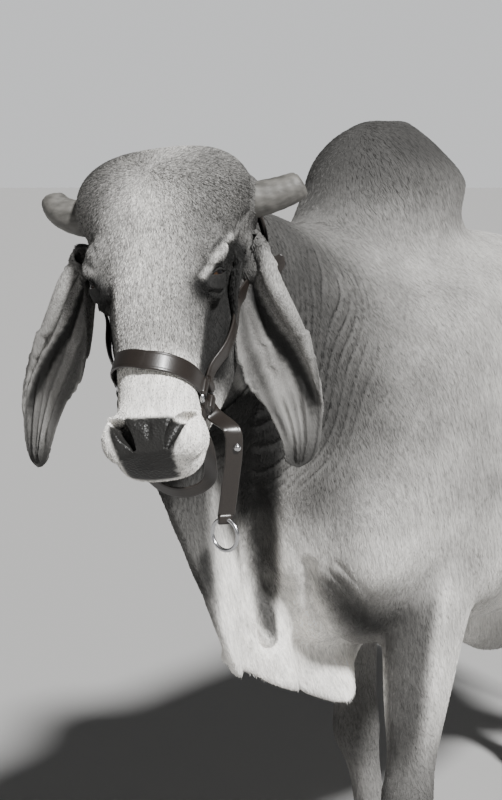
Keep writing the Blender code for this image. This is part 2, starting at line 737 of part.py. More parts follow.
def face_strokes():
    """Lines in the head's own frame that raise or sink the skin, each with its radius and height."""
    pairs = [
        ([(0.066, -0.048, -0.205), (0.088, -0.040, -0.222), (0.096, -0.018, -0.230)], 0.011, 0.005),
        ([(0.074, -0.036, -0.262), (0.088, -0.022, -0.266), (0.096, 0.000, -0.252)], 0.008, 0.003),
        ([(0.072, -0.052, -0.262), (0.070, -0.050, -0.300)], 0.012, -0.004),
        ([(0.060, -0.070, -0.270), (0.052, -0.070, -0.380)], 0.014, 0.003),
        ([(0.080, 0.020, -0.300), (0.066, 0.020, -0.400)], 0.020, -0.006),
        ([(0.022, -0.055, -0.470), (0.042, -0.052, -0.448), (0.060, -0.034, -0.446)], 0.010, 0.005),
        ([(0.062, 0.000, -0.440), (0.066, 0.015, -0.480)], 0.018, 0.004),
        ([(0.108, 0.030, -0.170), (0.098, 0.050, -0.215)], 0.012, -0.004),
    ]
    strokes = []
    for line, radius, height in pairs:
        for side in (1, -1):
            strokes.append((from_head(np.array(line) * np.array([side, 1, 1])), radius, height))
    strokes.append((from_head([(0, -0.062, -0.14), (0, -0.074, -0.30), (0, -0.066, -0.40)]), 0.035, 0.004))
    strokes.append((from_head([(0, -0.060, -0.480), (0, -0.050, -0.522)]), 0.006, -0.004))
    return strokes


def cut_face(head):
    """Opens the eyes, the nostrils and the line of the mouth in the head."""
    tree = surface_tree(head)
    place = np.array(head_matrix())[:3, :3]
    for side in (1, -1):
        eye = np.array(EYE_PLACE) * (side, 1, 1)
        ball, faces = blob(eye, (EYE_RADIUS + GAP,) * 3, sides=14)
        boolean(head, new_object("ball", from_head(ball), faces), "DIFFERENCE")
        gaze = np.array([0.86 * side, -0.5, 0.0])
        along = np.array([0.5 * side, 0.86, 0.12])
        lids = []
        for reach in (0.006, 0.016, 0.05):
            lids.append((*(eye + gaze * reach), EYE_OPENING[0], EYE_OPENING[1], EYE_OPENING[1] * 0.8))
        opening, faces = carry(lids, np.cross(gaze, along), rings=4, sides=14, power=1.7)
        boolean(head, new_object("opening", from_head(opening), faces), "DIFFERENCE")
        path = [(0.023, -0.032, -0.500), (0.032, -0.030, -0.484)]
        path += [(0.044, -0.024, -0.469), (0.054, -0.010, -0.461)]
        widths = (0.005, 0.0105, 0.010, 0.004)
        rows = []
        for point, wide in zip(path, widths):
            inside = from_head(np.array(point) * (side, 1, 1))[0]
            skin = on_skin(tree, inside, place @ np.array([0.35 * side, -1.0, 0.1]))
            rows.append((*skin, wide, 0.016, 0.016))
        facing = place @ np.array([0.35 * side, -1.0, 0.1])
        nostril, faces = carry(rows, facing, rings=12, sides=10, power=2.0)
        boolean(head, new_object("nostril", nostril, faces), "DIFFERENCE")
    rows = []
    for angle in np.linspace(-105, 105, 17):
        turn = math.radians(angle)
        back = (abs(angle) / 105) ** 2
        inside = from_head((0.0, 0.030 + 0.014 * back, -0.485 + 0.035 * back))[0]
        outward = place @ np.array([math.sin(turn), -0.45 * math.cos(turn), -math.cos(turn)])
        skin = on_skin(tree, inside, outward)
        rows.append((*skin, 0.0022, 0.006, 0.006))
    mouth, faces = carry(rows, place @ np.array([0.0, 0.3, -1.0]), rings=29, sides=6, power=2.0)
    boolean(head, new_object("mouth", mouth, faces), "DIFFERENCE")
    return keep_largest(head)


def ear_form(rows, facing, roll):
    """An ear: a leaf rolled into a cup at its root. Each row is x, y, z, half width and its wrap."""
    table = smooth_rows(rows, 14)
    middle, half, wrap = table[:, :3], np.maximum(table[:, 3], 0.004), np.radians(table[:, 4])
    facing = np.array(facing, float)
    along = np.gradient(middle, axis=0)
    along /= np.linalg.norm(along, axis=1)[:, None]
    across = np.cross(along, facing)
    across /= np.linalg.norm(across, axis=1)[:, None]
    front = np.cross(across, along)
    share = np.linspace(-1, 1, 9)[None, :]
    angle = share * wrap[:, None] / 2
    radius = (half / np.sin(np.minimum(wrap / 2, math.pi / 2)))[:, None]
    lift = abs(roll) * half[:, None] * np.clip(np.sign(roll) * share, 0, 1) ** 3
    grid = (
        middle[:, None]
        + (radius * np.sin(angle))[..., None] * across[:, None]
        + (radius * (1 - np.cos(angle)) + lift)[..., None] * front[:, None]
    )
    outward = np.sin(angle)[..., None] * across[:, None] - np.cos(angle)[..., None] * front[:, None]
    edge = EAR_THICKNESS / 2 * (1 - 0.35 * share**2) * np.ones((14, 1))
    return sheet(grid, edge, outward)


def horn_form(side, rows):
    table = [(*from_head(np.array(r[:3]) * (side, 1, 1))[0], r[3], r[3], r[3]) for r in rows]
    return carry(table, (0, 0.2, 1), rings=9, sides=12, power=2.0)


def claw_form(x, y, side):
    """One claw: its sole is flat on the floor, and its toe turns in a little."""
    centre = x + side * (CLAW_WIDTH / 2 + 0.0045)
    half = CLAW_WIDTH / 2
    rows = [
        (centre - side * 0.003, y - 0.005, -0.020, half, 0.075, 0.052),
        (centre - side * 0.002, y - 0.002, 0.025, half * 1.0, 0.064, 0.053),
        (centre, y, 0.055, half * 0.96, 0.055, 0.050),
        (centre, y + 0.002, 0.090, half * 0.9, 0.045, 0.044),
    ]
    return carry(rows, (0, -1, 0), rings=4, sides=12, power=2.6)


def finish_part(obj, name, slot):
    obj.name = name
    obj.data.name = name
    obj.data.materials.clear()
    obj.data.materials.append(material(slot))
    for polygon in obj.data.polygons:
        polygon.material_index = 0
    return keep_largest(obj)


def body_forms():
    """The trunk is blended first, so that its muscles run softly into each other."""
    trunk = blend("trunk", torso_forms() + hump_forms() + neck_forms(), 0.017, 34)
    forms = [(points_of(trunk), [tuple(p.vertices) for p in trunk.data.polygons])]
    bpy.data.objects.remove(trunk)
    forms += [dewlap_form(0.06, 0.06, 0.015)] + hump_forms() + underside_forms()
    forms += [foreleg_form(*LEFT_FORELEG), mirrored(foreleg_form(*RIGHT_FORELEG))]
    forms += [hindleg_form(*LEFT_HINDLEG), mirrored(hindleg_form(*RIGHT_HINDLEG))]
    for place in feet().values():
        forms += dewclaws(*place)
    return forms


def make_body():
    """The blended skin of the body, without the head's details, divided into its named parts."""
    body = blend("torso", body_forms() + head_forms()[:2], BODY_VOXEL, 8)
    thin_out(body, BODY_TRIANGLES)
    parts = {}
    dewlap = copy_of(body, "dewlap")
    inner = dewlap_form(-0.012, 0.05, 0.036 - GAP / 2, 0.08, 31, 4)
    outer = dewlap_form(-0.012 + GAP, 0.05 + GAP, 0.036 + GAP / 2, 0.08, 31, 4)
    boolean(dewlap, new_object("folds", *inner), "INTERSECT")
    boolean(body, new_object("folds", *outer), "DIFFERENCE")
    parts["dewlap"] = keep_largest(dewlap)
    away = tuple(-c for c in NECK_CUT_NORMAL)
    boolean(body, plane_box("head_side", NECK_CUT, away, -GAP / 2), "DIFFERENCE")
    keep_largest(body)
    for name, side, place in (("left", 1, LEFT_FORELEG), ("right", -1, RIGHT_FORELEG)):
        y = (place[1] + place[2]) / 2
        centre = (side * 0.205, y, FORELEG_CUT - 0.4)
        parts["foreleg_" + name] = divide(body, "foreleg_" + name, centre, (0.23, 0.5, 0.8))
    for name, side in (("left", 1), ("right", -1)):
        centre = (side * 0.205, 1.12, HINDLEG_CUT - 0.4)
        parts["hindleg_" + name] = divide(body, "hindleg_" + name, centre, (0.25, 0.5, 0.8))
    parts["hump"] = divide(body, "hump", (0, 0.01, 1.66), (0.5, 0.54, 0.32), (-3, 0, 0), "coat_dark")
    parts["sheath"] = divide(body, "sheath", (0, 0.47, 0.555), (0.16, 0.72, 0.18))
    parts["scrotum"] = divide(body, "scrotum", (0, 0.985, 0.58), (0.2, 0.2, 0.24), slot="coat_dark")
    parts["neck"] = copy_of(body, "neck")
    ahead = (0.0, -0.88, 0.47)
    boolean(parts["neck"], plane_box("ahead", (0, -0.30, 1.20), ahead, GAP / 2), "INTERSECT")
    boolean(body, plane_box("ahead", (0, -0.30, 1.20), ahead, -GAP / 2), "DIFFERENCE")
    parts["torso"] = body
    return parts


def make_feet(parts):
    for foot, (x, y) in feet().items():
        leg = parts[foot.replace("fore_", "foreleg_").replace("hind_", "hindleg_")]
        down = Matrix.Rotation(math.radians(CORONET_TILT), 3, "X") @ Vector((0, 0, -1))
        coronet = (x, y, CLAW_HEIGHT)
        boolean(leg, plane_box("sole_side", coronet, down, -GAP / 2), "DIFFERENCE")
        keep_largest(leg)
        for name, side in (("outer", 1), ("inner", -1)):
            outward = side if x > 0 else -side
            claw = new_object(f"claw_{foot}_{name}", *claw_form(x, y, outward), "hoof")
            boolean(claw, plane_box("sole_side", coronet, down, GAP / 2), "INTERSECT")
            boolean(claw, plane_box("floor", (x, y, 0), (0, 0, -1), 0), "DIFFERENCE")
            parts[claw.name] = keep_largest(claw)


def make_head(parts):
    head = blend("head", head_forms() + neck_forms(), HEAD_VOXEL, 8)
    press(head, face_strokes())
    thin_out(head, HEAD_TRIANGLES)
    tree = surface_tree(head)
    cut_face(head)
    boolean(head, plane_box("body_side", NECK_CUT, NECK_CUT_NORMAL, -GAP / 2), "DIFFERENCE")
    parts["head"] = keep_largest(head)
    around = grown(head, "around", GAP)
    boolean(parts["dewlap"], copy_of(around, "around_head"), "DIFFERENCE")
    for name, side in (("left", 1), ("right", -1)):
        ball, faces = blob(np.array(EYE_PLACE) * (side, 1, 1), (EYE_RADIUS,) * 3, sides=14)
        parts["eye_" + name] = new_object("eye_" + name, from_head(ball), faces, "eye")
    # Left, back and up from the poll, and the radius there, from each horn's root to its blunt tip.
    horns = {
        "left": [
            (0.100, 0.045, -0.085, 0.029),
            (0.135, 0.050, -0.082, 0.027),
            (0.170, 0.052, -0.075, 0.0245),
            (0.198, 0.052, -0.066, 0.021),
            (0.205, 0.052, -0.063, 0.012),
        ],
        "right": [
            (0.100, 0.045, -0.085, 0.029),
            (0.135, 0.048, -0.080, 0.027),
            (0.165, 0.046, -0.066, 0.024),
            (0.182, 0.042, -0.045, 0.019),
            (0.185, 0.040, -0.036, 0.010),
        ],
    }
    for name, side in (("left", 1), ("right", -1)):
        horn = new_object("horn_" + name, *horn_form(side, horns[name]), "horn")
        boolean(horn, copy_of(around, "around_head"), "DIFFERENCE")
        parts["horn_" + name] = keep_largest(horn)
    # The middle of each section from root to tip, its half width, and how far it is wrapped, in degrees.
    ears = {
        "left": [
            (0.188, -0.692, 1.488, 0.022, 250),
            (0.206, -0.696, 1.461, 0.029, 230),
            (0.213, -0.698, 1.419, 0.043, 190),
            (0.221, -0.684, 1.365, 0.056, 140),
            (0.228, -0.666, 1.319, 0.058, 115),
            (0.234, -0.648, 1.271, 0.052, 95),
            (0.239, -0.631, 1.224, 0.041, 85),
            (0.241, -0.623, 1.185, 0.026, 75),
            (0.239, -0.618, 1.146, 0.005, 60),
        ],
        "right": [
            (0.007, -0.813, 1.480, 0.022, 250),
            (-0.010, -0.814, 1.449, 0.026, 230),
            (-0.020, -0.820, 1.415, 0.034, 190),
            (-0.036, -0.822, 1.360, 0.045, 140),
            (-0.056, -0.825, 1.312, 0.049, 115),
            (-0.078, -0.829, 1.264, 0.043, 95),
            (-0.092, -0.834, 1.216, 0.033, 85),
            (-0.101, -0.834, 1.176, 0.021, 75),
            (-0.105, -0.836, 1.140, 0.005, 60),
        ],
    }
    facing = {"left": (0.80, -0.60, 0.0), "right": (0.20, -0.98, 0.0)}
    for name, roll in (("left", -0.5), ("right", 0.5)):
        ear = new_object("ear_" + name, *ear_form(ears[name], facing[name], roll), "coat_grey")
        root = np.array(ears[name][1][:3])
        boolean(ear, new_object("root", *blob(root, (0.026, 0.026, 0.032), sides=10)), "UNION")
        boolean(ear, copy_of(around, "around_head"), "DIFFERENCE")
        parts["ear_" + name] = keep_largest(ear)
    bpy.data.objects.remove(around)
    return tree


def make_tail(parts):
    tail = new_object("tail", *tail_form(), "coat_grey")
    boolean(tail, grown(parts["torso"], "around", GAP), "DIFFERENCE")
    parts["tail"] = keep_largest(tail)
    switch = join_forms("tail_switch", switch_forms(), "coat_dark")
    boolean(switch, grown(parts["tail"], "around", GAP), "DIFFERENCE")
    parts["tail_switch"] = keep_largest(switch)


def fit(part, neighbours, by=GAP):
    """Cuts each neighbour, grown by the gap, out of a part."""
    for neighbour in neighbours:
        boolean(part, grown(neighbour, "around", by), "DIFFERENCE")
    return keep_largest(part)


def add_sleeve(strap, centre, along, wide, out, width):
    """Wraps the end of a strap round the bar of a ring."""
    size = (0.016, width, 2 * (RING_WIRE + 0.0026))
    points = [
        np.array(centre) + a * size[0] / 2 * along + w * size[1] / 2 * wide + o * size[2] / 2 * out
        for a in (-1, 1) for w in (-1, 1) for o in (-1, 1)
    ]
    faces = [(0, 1, 3, 2), (4, 6, 7, 5), (0, 4, 5, 1), (2, 3, 7, 6), (0, 2, 6, 4), (1, 5, 7, 3)]
    boolean(strap, new_object("sleeve", points, faces, "leather"), "UNION")


def make_halter(parts, tree):
    """A noseband and cheek straps that meet at two square rings, a strap behind the ears, a loose chin
    strap, and on the left a hanging strap with a round ring."""
    place = np.array(head_matrix())[:3, :3]
    head = parts["head"]
    rings, corners = {}, {}
    for name, side in (("left", 1), ("right", -1)):
        y, z = (0.032, -0.400) if side > 0 else (0.032, -0.372)
        inside = from_head((0, y, z))[0]
        skin = on_skin(tree, inside, place @ np.array([side, 0.0, 0.0]))
        ahead = on_skin(tree, from_head((0, y - 0.018, z + 0.004))[0], place @ np.array([side, 0.0, 0.0]))
        above = on_skin(tree, from_head((0, y, z + 0.018))[0], place @ np.array([side, 0.0, 0.0]))
        front = (ahead - skin) / np.linalg.norm(ahead - skin)
        out = np.cross(above - skin, front) * side
        out /= np.linalg.norm(out)
        up = np.cross(front, out) * side
        up /= np.linalg.norm(up)
        centre = skin + out * (RING_WIRE + 0.0022)
        path = ring_path(centre, front, up, SIDE_RING_SIZE, 5.0, 16)
        ring = new_object("side_ring_" + name, *closed_tube(path, RING_WIRE, 6), "steel")
        parts["side_ring_" + name] = rings[name] = fit(ring, [head])
        corners[name] = (centre, front, up, out)
    middle = from_head((0.0, 0.040, -0.386))[0]
    left, right = corners["left"], corners["right"]
    reach = SIDE_RING_SIZE + 0.003
    ends = [right[0] + right[1] * reach, left[0] + left[1] * reach]
    top = from_head((-0.004, -0.20, -0.384))[0]
    spokes = []
    for share in np.linspace(0, 1, 19):
        spoke = ends[0] * (1 - share) + ends[1] * share - middle
        spoke = spoke / np.linalg.norm(spoke)
        lift = math.sin(math.pi * share)
        rise = (top - middle) / np.linalg.norm(top - middle)
        spokes.append(spoke * (1 - lift) + rise * lift * 1.6)
    spokes = np.array(spokes)
    noseband = new_object("noseband", *skin_strap(tree, [middle] * len(spokes), spokes), "leather")
    for name in ("left", "right"):
        centre, front, up, out = corners[name]
        add_sleeve(noseband, centre + front * SIDE_RING_SIZE, front, up, out, 0.024)
    parts["noseband"] = fit(noseband, [head, rings["left"], rings["right"]])
    cheek = [(0.045, -0.350), (0.055, -0.315), (0.066, -0.280)]
    cheek += [(0.080, -0.240), (0.098, -0.200), (0.118, -0.160)]
    for name, side in (("left", 1), ("right", -1)):
        centre, front, up, out = corners[name]
        above = centre + up * (SIDE_RING_SIZE + 0.003)
        start = np.linalg.inv(np.array(head_matrix())) @ np.append(above, 1)
        table = smooth_rows([(start[1], start[2])] + cheek, 10)
        inside = [from_head((0, y, z))[0] for y, z in table]
        outward = np.tile(place @ np.array([side, 0.0, 0.0]), (10, 1))
        strap = new_object("cheek_strap_" + name, *skin_strap(tree, inside, outward), "leather")
        add_sleeve(strap, centre + up * SIDE_RING_SIZE, up, front, out, 0.024)
        parts[strap.name] = fit(strap, [head, rings[name], parts["noseband"]], 0.0014)
    angle = np.radians(np.linspace(-122, 122, 17))
    inside = [from_head((0, 0.117 + 0.022 * math.cos(a), -0.110))[0] for a in angle]
    outward = np.array([place @ np.array([math.sin(a), 0.25, math.cos(a)]) for a in angle])
    crown = new_object("crown_strap", *skin_strap(tree, inside, outward), "leather")
    free_end = [
        (0.1930, -0.6400, 1.4430, 0.010, 0.0024, 0.0024),
        (0.2045, -0.6385, 1.4490, 0.0115, 0.0024, 0.0024),
        (0.2105, -0.6335, 1.4610, 0.0120, 0.0022, 0.0022),
        (0.2140, -0.6305, 1.4700, 0.0060, 0.0018, 0.0018),
    ]
    leaf = carry(free_end, (0.62, -0.78, 0.0), rings=5, sides=6, power=3.0)
    boolean(crown, new_object("free_end", *leaf, "leather"), "UNION")
    parts["crown_strap"] = fit(crown, [head, parts["cheek_strap_left"], parts["cheek_strap_right"]])
    loop = []
    for name, direction in (("left", 1), ("right", -1)):
        centre, front, up, out = corners[name]
        low = centre - up * (SIDE_RING_SIZE + 0.004)
        rows = [(*low, *front), (*(low - up * 0.030 + out * 0.002), *front)]
        loop += rows if direction > 0 else rows[::-1]
    bottom = from_head([(0.045, 0.118, -0.490), (0.0, 0.130, -0.505), (-0.045, 0.118, -0.480)])
    wide = place @ np.array([0.0, -0.85, 0.4])
    loop = loop[:2] + [(*p, *wide) for p in bottom] + loop[2:]
    chin = new_object("chin_strap", *free_strap(loop, 0.022, STRAP_THICKNESS, 18), "leather")
    for name in ("left", "right"):
        centre, front, up, out = corners[name]
        add_sleeve(chin, centre - up * SIDE_RING_SIZE, up, front, out, 0.020)
    near = [head, rings["left"], rings["right"]]
    near += [parts[n] for n in ("noseband", "cheek_strap_left", "cheek_strap_right", "dewlap")]
    parts["chin_strap"] = fit(chin, near)
    centre, front, up, out = left
    back = centre - front * SIDE_RING_SIZE
    wide = np.array([0.62, 0.78, 0.0])
    bend = back - front * 0.016 - up * 0.010 + out * 0.004
    rows = [(*(back - front * 0.006), *up), (*bend, *(up + wide)), (0.2868, -0.8446, 1.237, *wide)]
    rows += [(0.2874, -0.8408, 1.205, *wide), (0.2786, -0.8377, 1.159, *wide), (0.2680, -0.8340, 1.111, *wide)]
    hanging = new_object("hanging_strap", *free_strap(rows, 0.026, STRAP_THICKNESS, 12), "leather")
    add_sleeve(hanging, back, front, up, out, 0.020)
    low = np.array([0.2664, -0.8349, 1.105])
    across = np.array([0.62, 0.78, 0.0])
    facing = np.array([0.78, -0.62, 0.0])
    add_sleeve(hanging, low, np.array([0, 0, 1.0]), across, facing, 0.016)
    turned = np.array([1.0, 0.0, 0.0])
    upward = np.array([0.0, 0.0, 1.0])
    path = ring_path(low - upward * LEAD_RING_RADIUS, turned, upward, LEAD_RING_RADIUS, 2.0, 24)
    lead = new_object("lead_ring", *closed_tube(path, RING_WIRE * 0.85, 6), "steel")
    parts["lead_ring"] = lead
    near = [head, rings["left"], lead]
    near += [parts[n] for n in ("noseband", "cheek_strap_left", "chin_strap", "dewlap")]
    parts["hanging_strap"] = fit(hanging, near)
    stud_at = np.array([0.2905, -0.8384, 1.212]) + facing * 0.003
    stud = new_object("strap_stud", *blob(stud_at, (0.006, 0.006, 0.006), sides=10), "steel")
    parts["strap_stud"] = fit(stud, [parts["hanging_strap"]])
    for name in ("left", "right"):
        fit(parts["ear_" + name], [parts["cheek_strap_" + name], parts["crown_strap"]], 0.0020)


def settle_origins(parts):
    """Stands the bull with its bounding box centred over the origin, and sets each part's own origin."""
    points = np.vstack([points_of(p) for p in parts.values()])
    low, high = points.min(axis=0), points.max(axis=0)
    shift = np.array([-(low[0] + high[0]) / 2, -(low[1] + high[1]) / 2, -low[2]])
    for part in parts.values():
        place = points_of(part) + shift
        centre = np.round((place.min(axis=0) + place.max(axis=0)) / 2, 4)
        move_points(part, place - centre)
        part.location = centre
    return tuple(shift)


def main():
    clear_scene()
    parts = make_body()
    make_feet(parts)
    tree = make_head(parts)
    make_tail(parts)
    make_halter(parts, tree)
    slots = {"hump": "coat_dark", "scrotum": "coat_dark", "tail_switch": "coat_dark", "dewlap": "coat_pale"}
    for name, part in parts.items():
        slot = part.data.materials[0].name if name not in slots else slots[name]
        finish_part(part, name, slot)
    return settle_origins(parts)


SHIFT = main()
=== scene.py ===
import math
import time

import bmesh
import bpy
import numpy as np
from mathutils import Matrix, Vector
from mathutils.bvhtree import BVHTree


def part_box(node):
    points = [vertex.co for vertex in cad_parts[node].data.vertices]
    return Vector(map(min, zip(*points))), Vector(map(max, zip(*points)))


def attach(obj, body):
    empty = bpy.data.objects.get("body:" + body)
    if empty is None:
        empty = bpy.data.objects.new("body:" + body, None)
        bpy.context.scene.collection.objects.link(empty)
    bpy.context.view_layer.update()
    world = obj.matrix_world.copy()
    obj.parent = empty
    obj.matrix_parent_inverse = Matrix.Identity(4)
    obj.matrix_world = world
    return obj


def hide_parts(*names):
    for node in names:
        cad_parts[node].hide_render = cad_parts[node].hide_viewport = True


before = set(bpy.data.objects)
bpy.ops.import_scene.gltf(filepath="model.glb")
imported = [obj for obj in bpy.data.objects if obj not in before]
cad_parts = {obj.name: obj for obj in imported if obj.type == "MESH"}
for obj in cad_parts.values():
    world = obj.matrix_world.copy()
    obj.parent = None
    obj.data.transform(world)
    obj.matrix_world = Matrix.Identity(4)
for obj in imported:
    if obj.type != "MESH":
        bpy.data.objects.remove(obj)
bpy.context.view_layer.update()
startTime = time.time()
scene = bpy.context.scene
pieces = []  # every piece made here, moved onto the frame at the end

# The head's own frame (left, back, up from the poll), and the plane where the head meets the neck.
poll = (0.080, -0.753, 1.635)
headTurn = Matrix.Rotation(math.radians(28), 3, "Z") @ Matrix.Rotation(math.radians(-7), 3, "Y")
headTurn = headTurn @ Matrix.Rotation(math.radians(-31), 3, "X")
headSpin = np.array(headTurn)
neckCut = np.array([0.070, -0.648, 1.390])
neckNormal = np.array([-0.25, 0.85, -0.45]) / np.linalg.norm([-0.25, 0.85, -0.45])
eyePlace = np.array([0.081, -0.018, -0.240])
gaze = np.array([0.86, -0.50, 0.05]) / np.linalg.norm([0.86, -0.50, 0.05])
eyeCentre = eyePlace - 0.003 * gaze
coatDepth = 0.0033
coronetSlope = math.radians(-13)


def said(text):  # one line for each stage, with the time so far
    print(f"{text} {time.time() - startTime:.1f} s")


def mm(rows):  # a table in millimetres, as metres
    return np.array(rows, float) / 1000


def unit(v):  # each vector divided by its length
    return v / np.maximum(np.linalg.norm(v, axis=-1, keepdims=True), 1e-9)


def ramp(x, low, high):  # 0 below low, 1 above high, an S curve between
    t = np.clip((x - low) / (high - low), 0, 1)
    return t * t * (3 - 2 * t)


def bell(x, width, power=2):  # exp(-(x / width)^power)
    return np.exp(-((x / width) ** power))


def rounded(w, power):  # sign(w) |w|^(2 / power), which makes a superellipse of a circle
    return np.sign(w) * np.abs(w) ** (2 / power)


def circle(count):  # angles at even places round a circle
    return np.linspace(0, 2 * math.pi, count, endpoint=False)


def mix(a, b, share):  # a where share is 0, b where it is 1
    return a + (b - a) * share


def fromHead(points):  # turned as the head is, and moved to the poll
    return np.atleast_2d(np.asarray(points, float)) @ headSpin.T + poll


def toHead(points):  # the same, undone
    return (np.atleast_2d(points) - poll) @ headSpin


def smoothRows(rows, count):  # Catmull-Rom curve through each column of rows, at count even places
    rows = np.asarray(rows, float)
    place = np.linspace(0, len(rows) - 1, count)
    low = np.minimum(place.astype(int), len(rows) - 2)
    t = (place - low)[:, None]
    padded = np.vstack([2 * rows[0] - rows[1], rows, 2 * rows[-1] - rows[-2]])
    a, b, c, d = (padded[low + k] for k in range(4))
    return 0.5 * (2 * b + (c - a) * t + (2 * a - 5 * b + 4 * c - d) * t**2 + (3 * b - a - 3 * c + d) * t**3)


def gridFaces(rows, columns, wrap):  # two triangles for each cell; wrap joins the last column to the first
    r = np.arange(rows - 1)[:, None]
    c = np.arange(columns if wrap else columns - 1)[None, :]
    n = (c + 1) % columns
    quads = [r * columns + c, r * columns + n, (r + 1) * columns + n, (r + 1) * columns + c]
    quads = np.stack(quads, -1).reshape(-1, 4)
    return np.concatenate([quads[:, [0, 1, 2]], quads[:, [0, 2, 3]]])


def closedTube(ring, first, last):  # rings of points joined row by row, with a fan to one point at each end
    rings, sides = ring.shape[:2]
    s = np.arange(sides)
    n = (s + 1) % sides
    low, top = np.full(sides, rings * sides), (rings - 1) * sides
    caps = np.concatenate([np.stack([low, n, s], 1), np.stack([low + 1, top + s, top + n], 1)])
    points = np.vstack([ring.reshape(-1, 3), np.atleast_2d(first), np.atleast_2d(last)])
    return points, np.concatenate([gridFaces(rings, sides, True), caps])


def carry(rows, hint, rings=24, sides=20, power=2.3):
    # A superellipse |x/w|^p + |y/h|^p = 1 carried along a curve.
    # Rows are x, y, z, half width, reach towards hint, reach away from it.
    table = smoothRows(rows, rings)
    centre = table[:, :3]
    along = unit(np.gradient(centre, axis=0))
    across = unit(np.cross(along, np.asarray(hint, float)))
    front = np.cross(across, along)
    width, ahead, behind = (np.maximum(table[:, k], 0.0004)[:, None] for k in (3, 4, 5))
    angle = circle(sides)[None, :]
    lateral = rounded(np.cos(angle), power) * width
    rise = rounded(np.sin(angle), power)
    rise = np.where(rise > 0, rise * ahead, rise * behind)
    ring = centre[:, None] + lateral[..., None] * across[:, None] + rise[..., None] * front[:, None]
    return closedTube(ring, centre[0], centre[-1])


def ballRings(polar, about):  # unit ball: (sin a cos b, sin a sin b, cos a)
    return np.stack([np.sin(polar) * np.cos(about), np.sin(polar) * np.sin(about), np.cos(polar) + 0 * about], -1)


def blob(centre, radii, turn=(0, 0, 0), sides=28):  # an ellipsoid, turned by degrees about X, Y and Z in turn
    polar = np.linspace(0, math.pi, sides // 2 + 1)[1:-1, None]
    about = circle(sides)[None, :]
    points, faces = closedTube(ballRings(polar, about), (0, 0, 1), (0, 0, -1))
    spin = Matrix.Identity(3)
    for axis, angle in zip("XYZ", turn):
        spin = Matrix.Rotation(math.radians(angle), 3, axis) @ spin
    return (points * np.asarray(radii)) @ np.array(spin).T + centre, faces


def blobs(table):  # an ellipsoid for each row: centre, radii, and its turn where it has one
    return [blob(mm(row[:3]), mm(row[3:6]), row[6:]) for row in table]


def sheet(middle, half, across):  # a grid pushed half its thickness both ways along across, with its rim closed
    rows, columns = middle.shape[:2]
    offset = half[..., None] * across
    points = np.vstack([(middle + offset).reshape(-1, 3), (middle - offset).reshape(-1, 3)])
    count = rows * columns
    side = gridFaces(rows, columns, False)
    ids = np.arange(count).reshape(rows, columns)
    rim = np.concatenate([ids[0, :-1], ids[:-1, -1], ids[-1, :0:-1], ids[:0:-1, 0]])
    after = np.roll(rim, -1)
    edge = [np.stack([rim, count + rim, count + after], 1), np.stack([rim, count + after, after], 1)]
    return points, np.concatenate([side, side[:, ::-1] + count] + edge)


def mirrored(form):  # the same form on the right side
    return form[0] * np.array([-1.0, 1.0, 1.0]), form[1][:, ::-1]


def bothSides(forms):  # the forms, then the same on the right side
    return forms + [mirrored(form) for form in forms]


def makeObject(name, points, faces, finish=None, sort=True):  # a mesh of triangles, facing outwards once sorted
    mesh = bpy.data.meshes.new(name)
    mesh.vertices.add(len(points))
    mesh.vertices.foreach_set("co", np.ascontiguousarray(points, np.float32).ravel())
    mesh.loops.add(len(faces) * 3)
    mesh.loops.foreach_set("vertex_index", np.ascontiguousarray(faces, np.int32).ravel())
    mesh.polygons.add(len(faces))
    mesh.polygons.foreach_set("loop_start", np.arange(0, len(faces) * 3, 3, dtype=np.int32))
    mesh.polygons.foreach_set("use_smooth", np.ones(len(faces), bool))
    mesh.update(calc_edges=True)
    if sort:
        work = bmesh.new()
        work.from_mesh(mesh)
        bmesh.ops.remove_doubles(work, verts=work.verts, dist=1e-6)
        bmesh.ops.recalc_face_normals(work, faces=work.faces)
        work.to_mesh(mesh)
        work.free()
    obj = bpy.data.objects.new(name, mesh)
    scene.collection.objects.link(obj)
    if finish:
        mesh.materials.append(finish)
    return obj


def gathered(forms):  # several closed forms as one list of points and faces
    starts = np.cumsum([0] + [len(f[0]) for f in forms[:-1]])
    return np.vstack([f[0] for f in forms]), np.concatenate([f[1] + s for f, s in zip(forms, starts)])


def settle(obj):  # applies the modifiers
    made = bpy.data.meshes.new_from_object(obj.evaluated_get(bpy.context.evaluated_depsgraph_get()))
    obj.modifiers.clear()
    obj.data = made
    return obj


def pointsOf(obj, what="vertices", field="co"):  # one row of three values for each point
    source = getattr(obj.data, what)
    values = np.empty(len(source) * 3, np.float32)
    source.foreach_get(field, values)
    return values.reshape(-1, 3).astype(float)


def trianglesOf(obj, field):  # one row of three numbers for each triangle of the mesh
    obj.data.calc_loop_triangles()
    values = np.empty(len(obj.data.loop_triangles) * 3, np.int32)
    obj.data.loop_triangles.foreach_get(field, values)
    return values.reshape(-1, 3)


def facesOf(obj):  # the three points of each triangle
    return trianglesOf(obj, "vertices")


def normalsOf(obj):  # the way out of the surface at each point
    return pointsOf(obj, "vertex_normals", "vector")


def movePoints(obj, points):  # sets a new place for each point
    obj.data.vertices.foreach_set("co", np.ascontiguousarray(points, np.float32).ravel())
    obj.data.update()


def boolean(obj, other, operation):  # joins other to obj or cuts it away, by the exact solver where the first fails
    before = obj.data
    for solver in ("MANIFOLD", "EXACT"):
        obj.data = before
        step = obj.modifiers.new("boolean", "BOOLEAN")
        step.operation, step.solver, step.object = operation, solver, other
        settle(obj)
        if len(obj.data.polygons):
            break
    bpy.data.objects.remove(other)


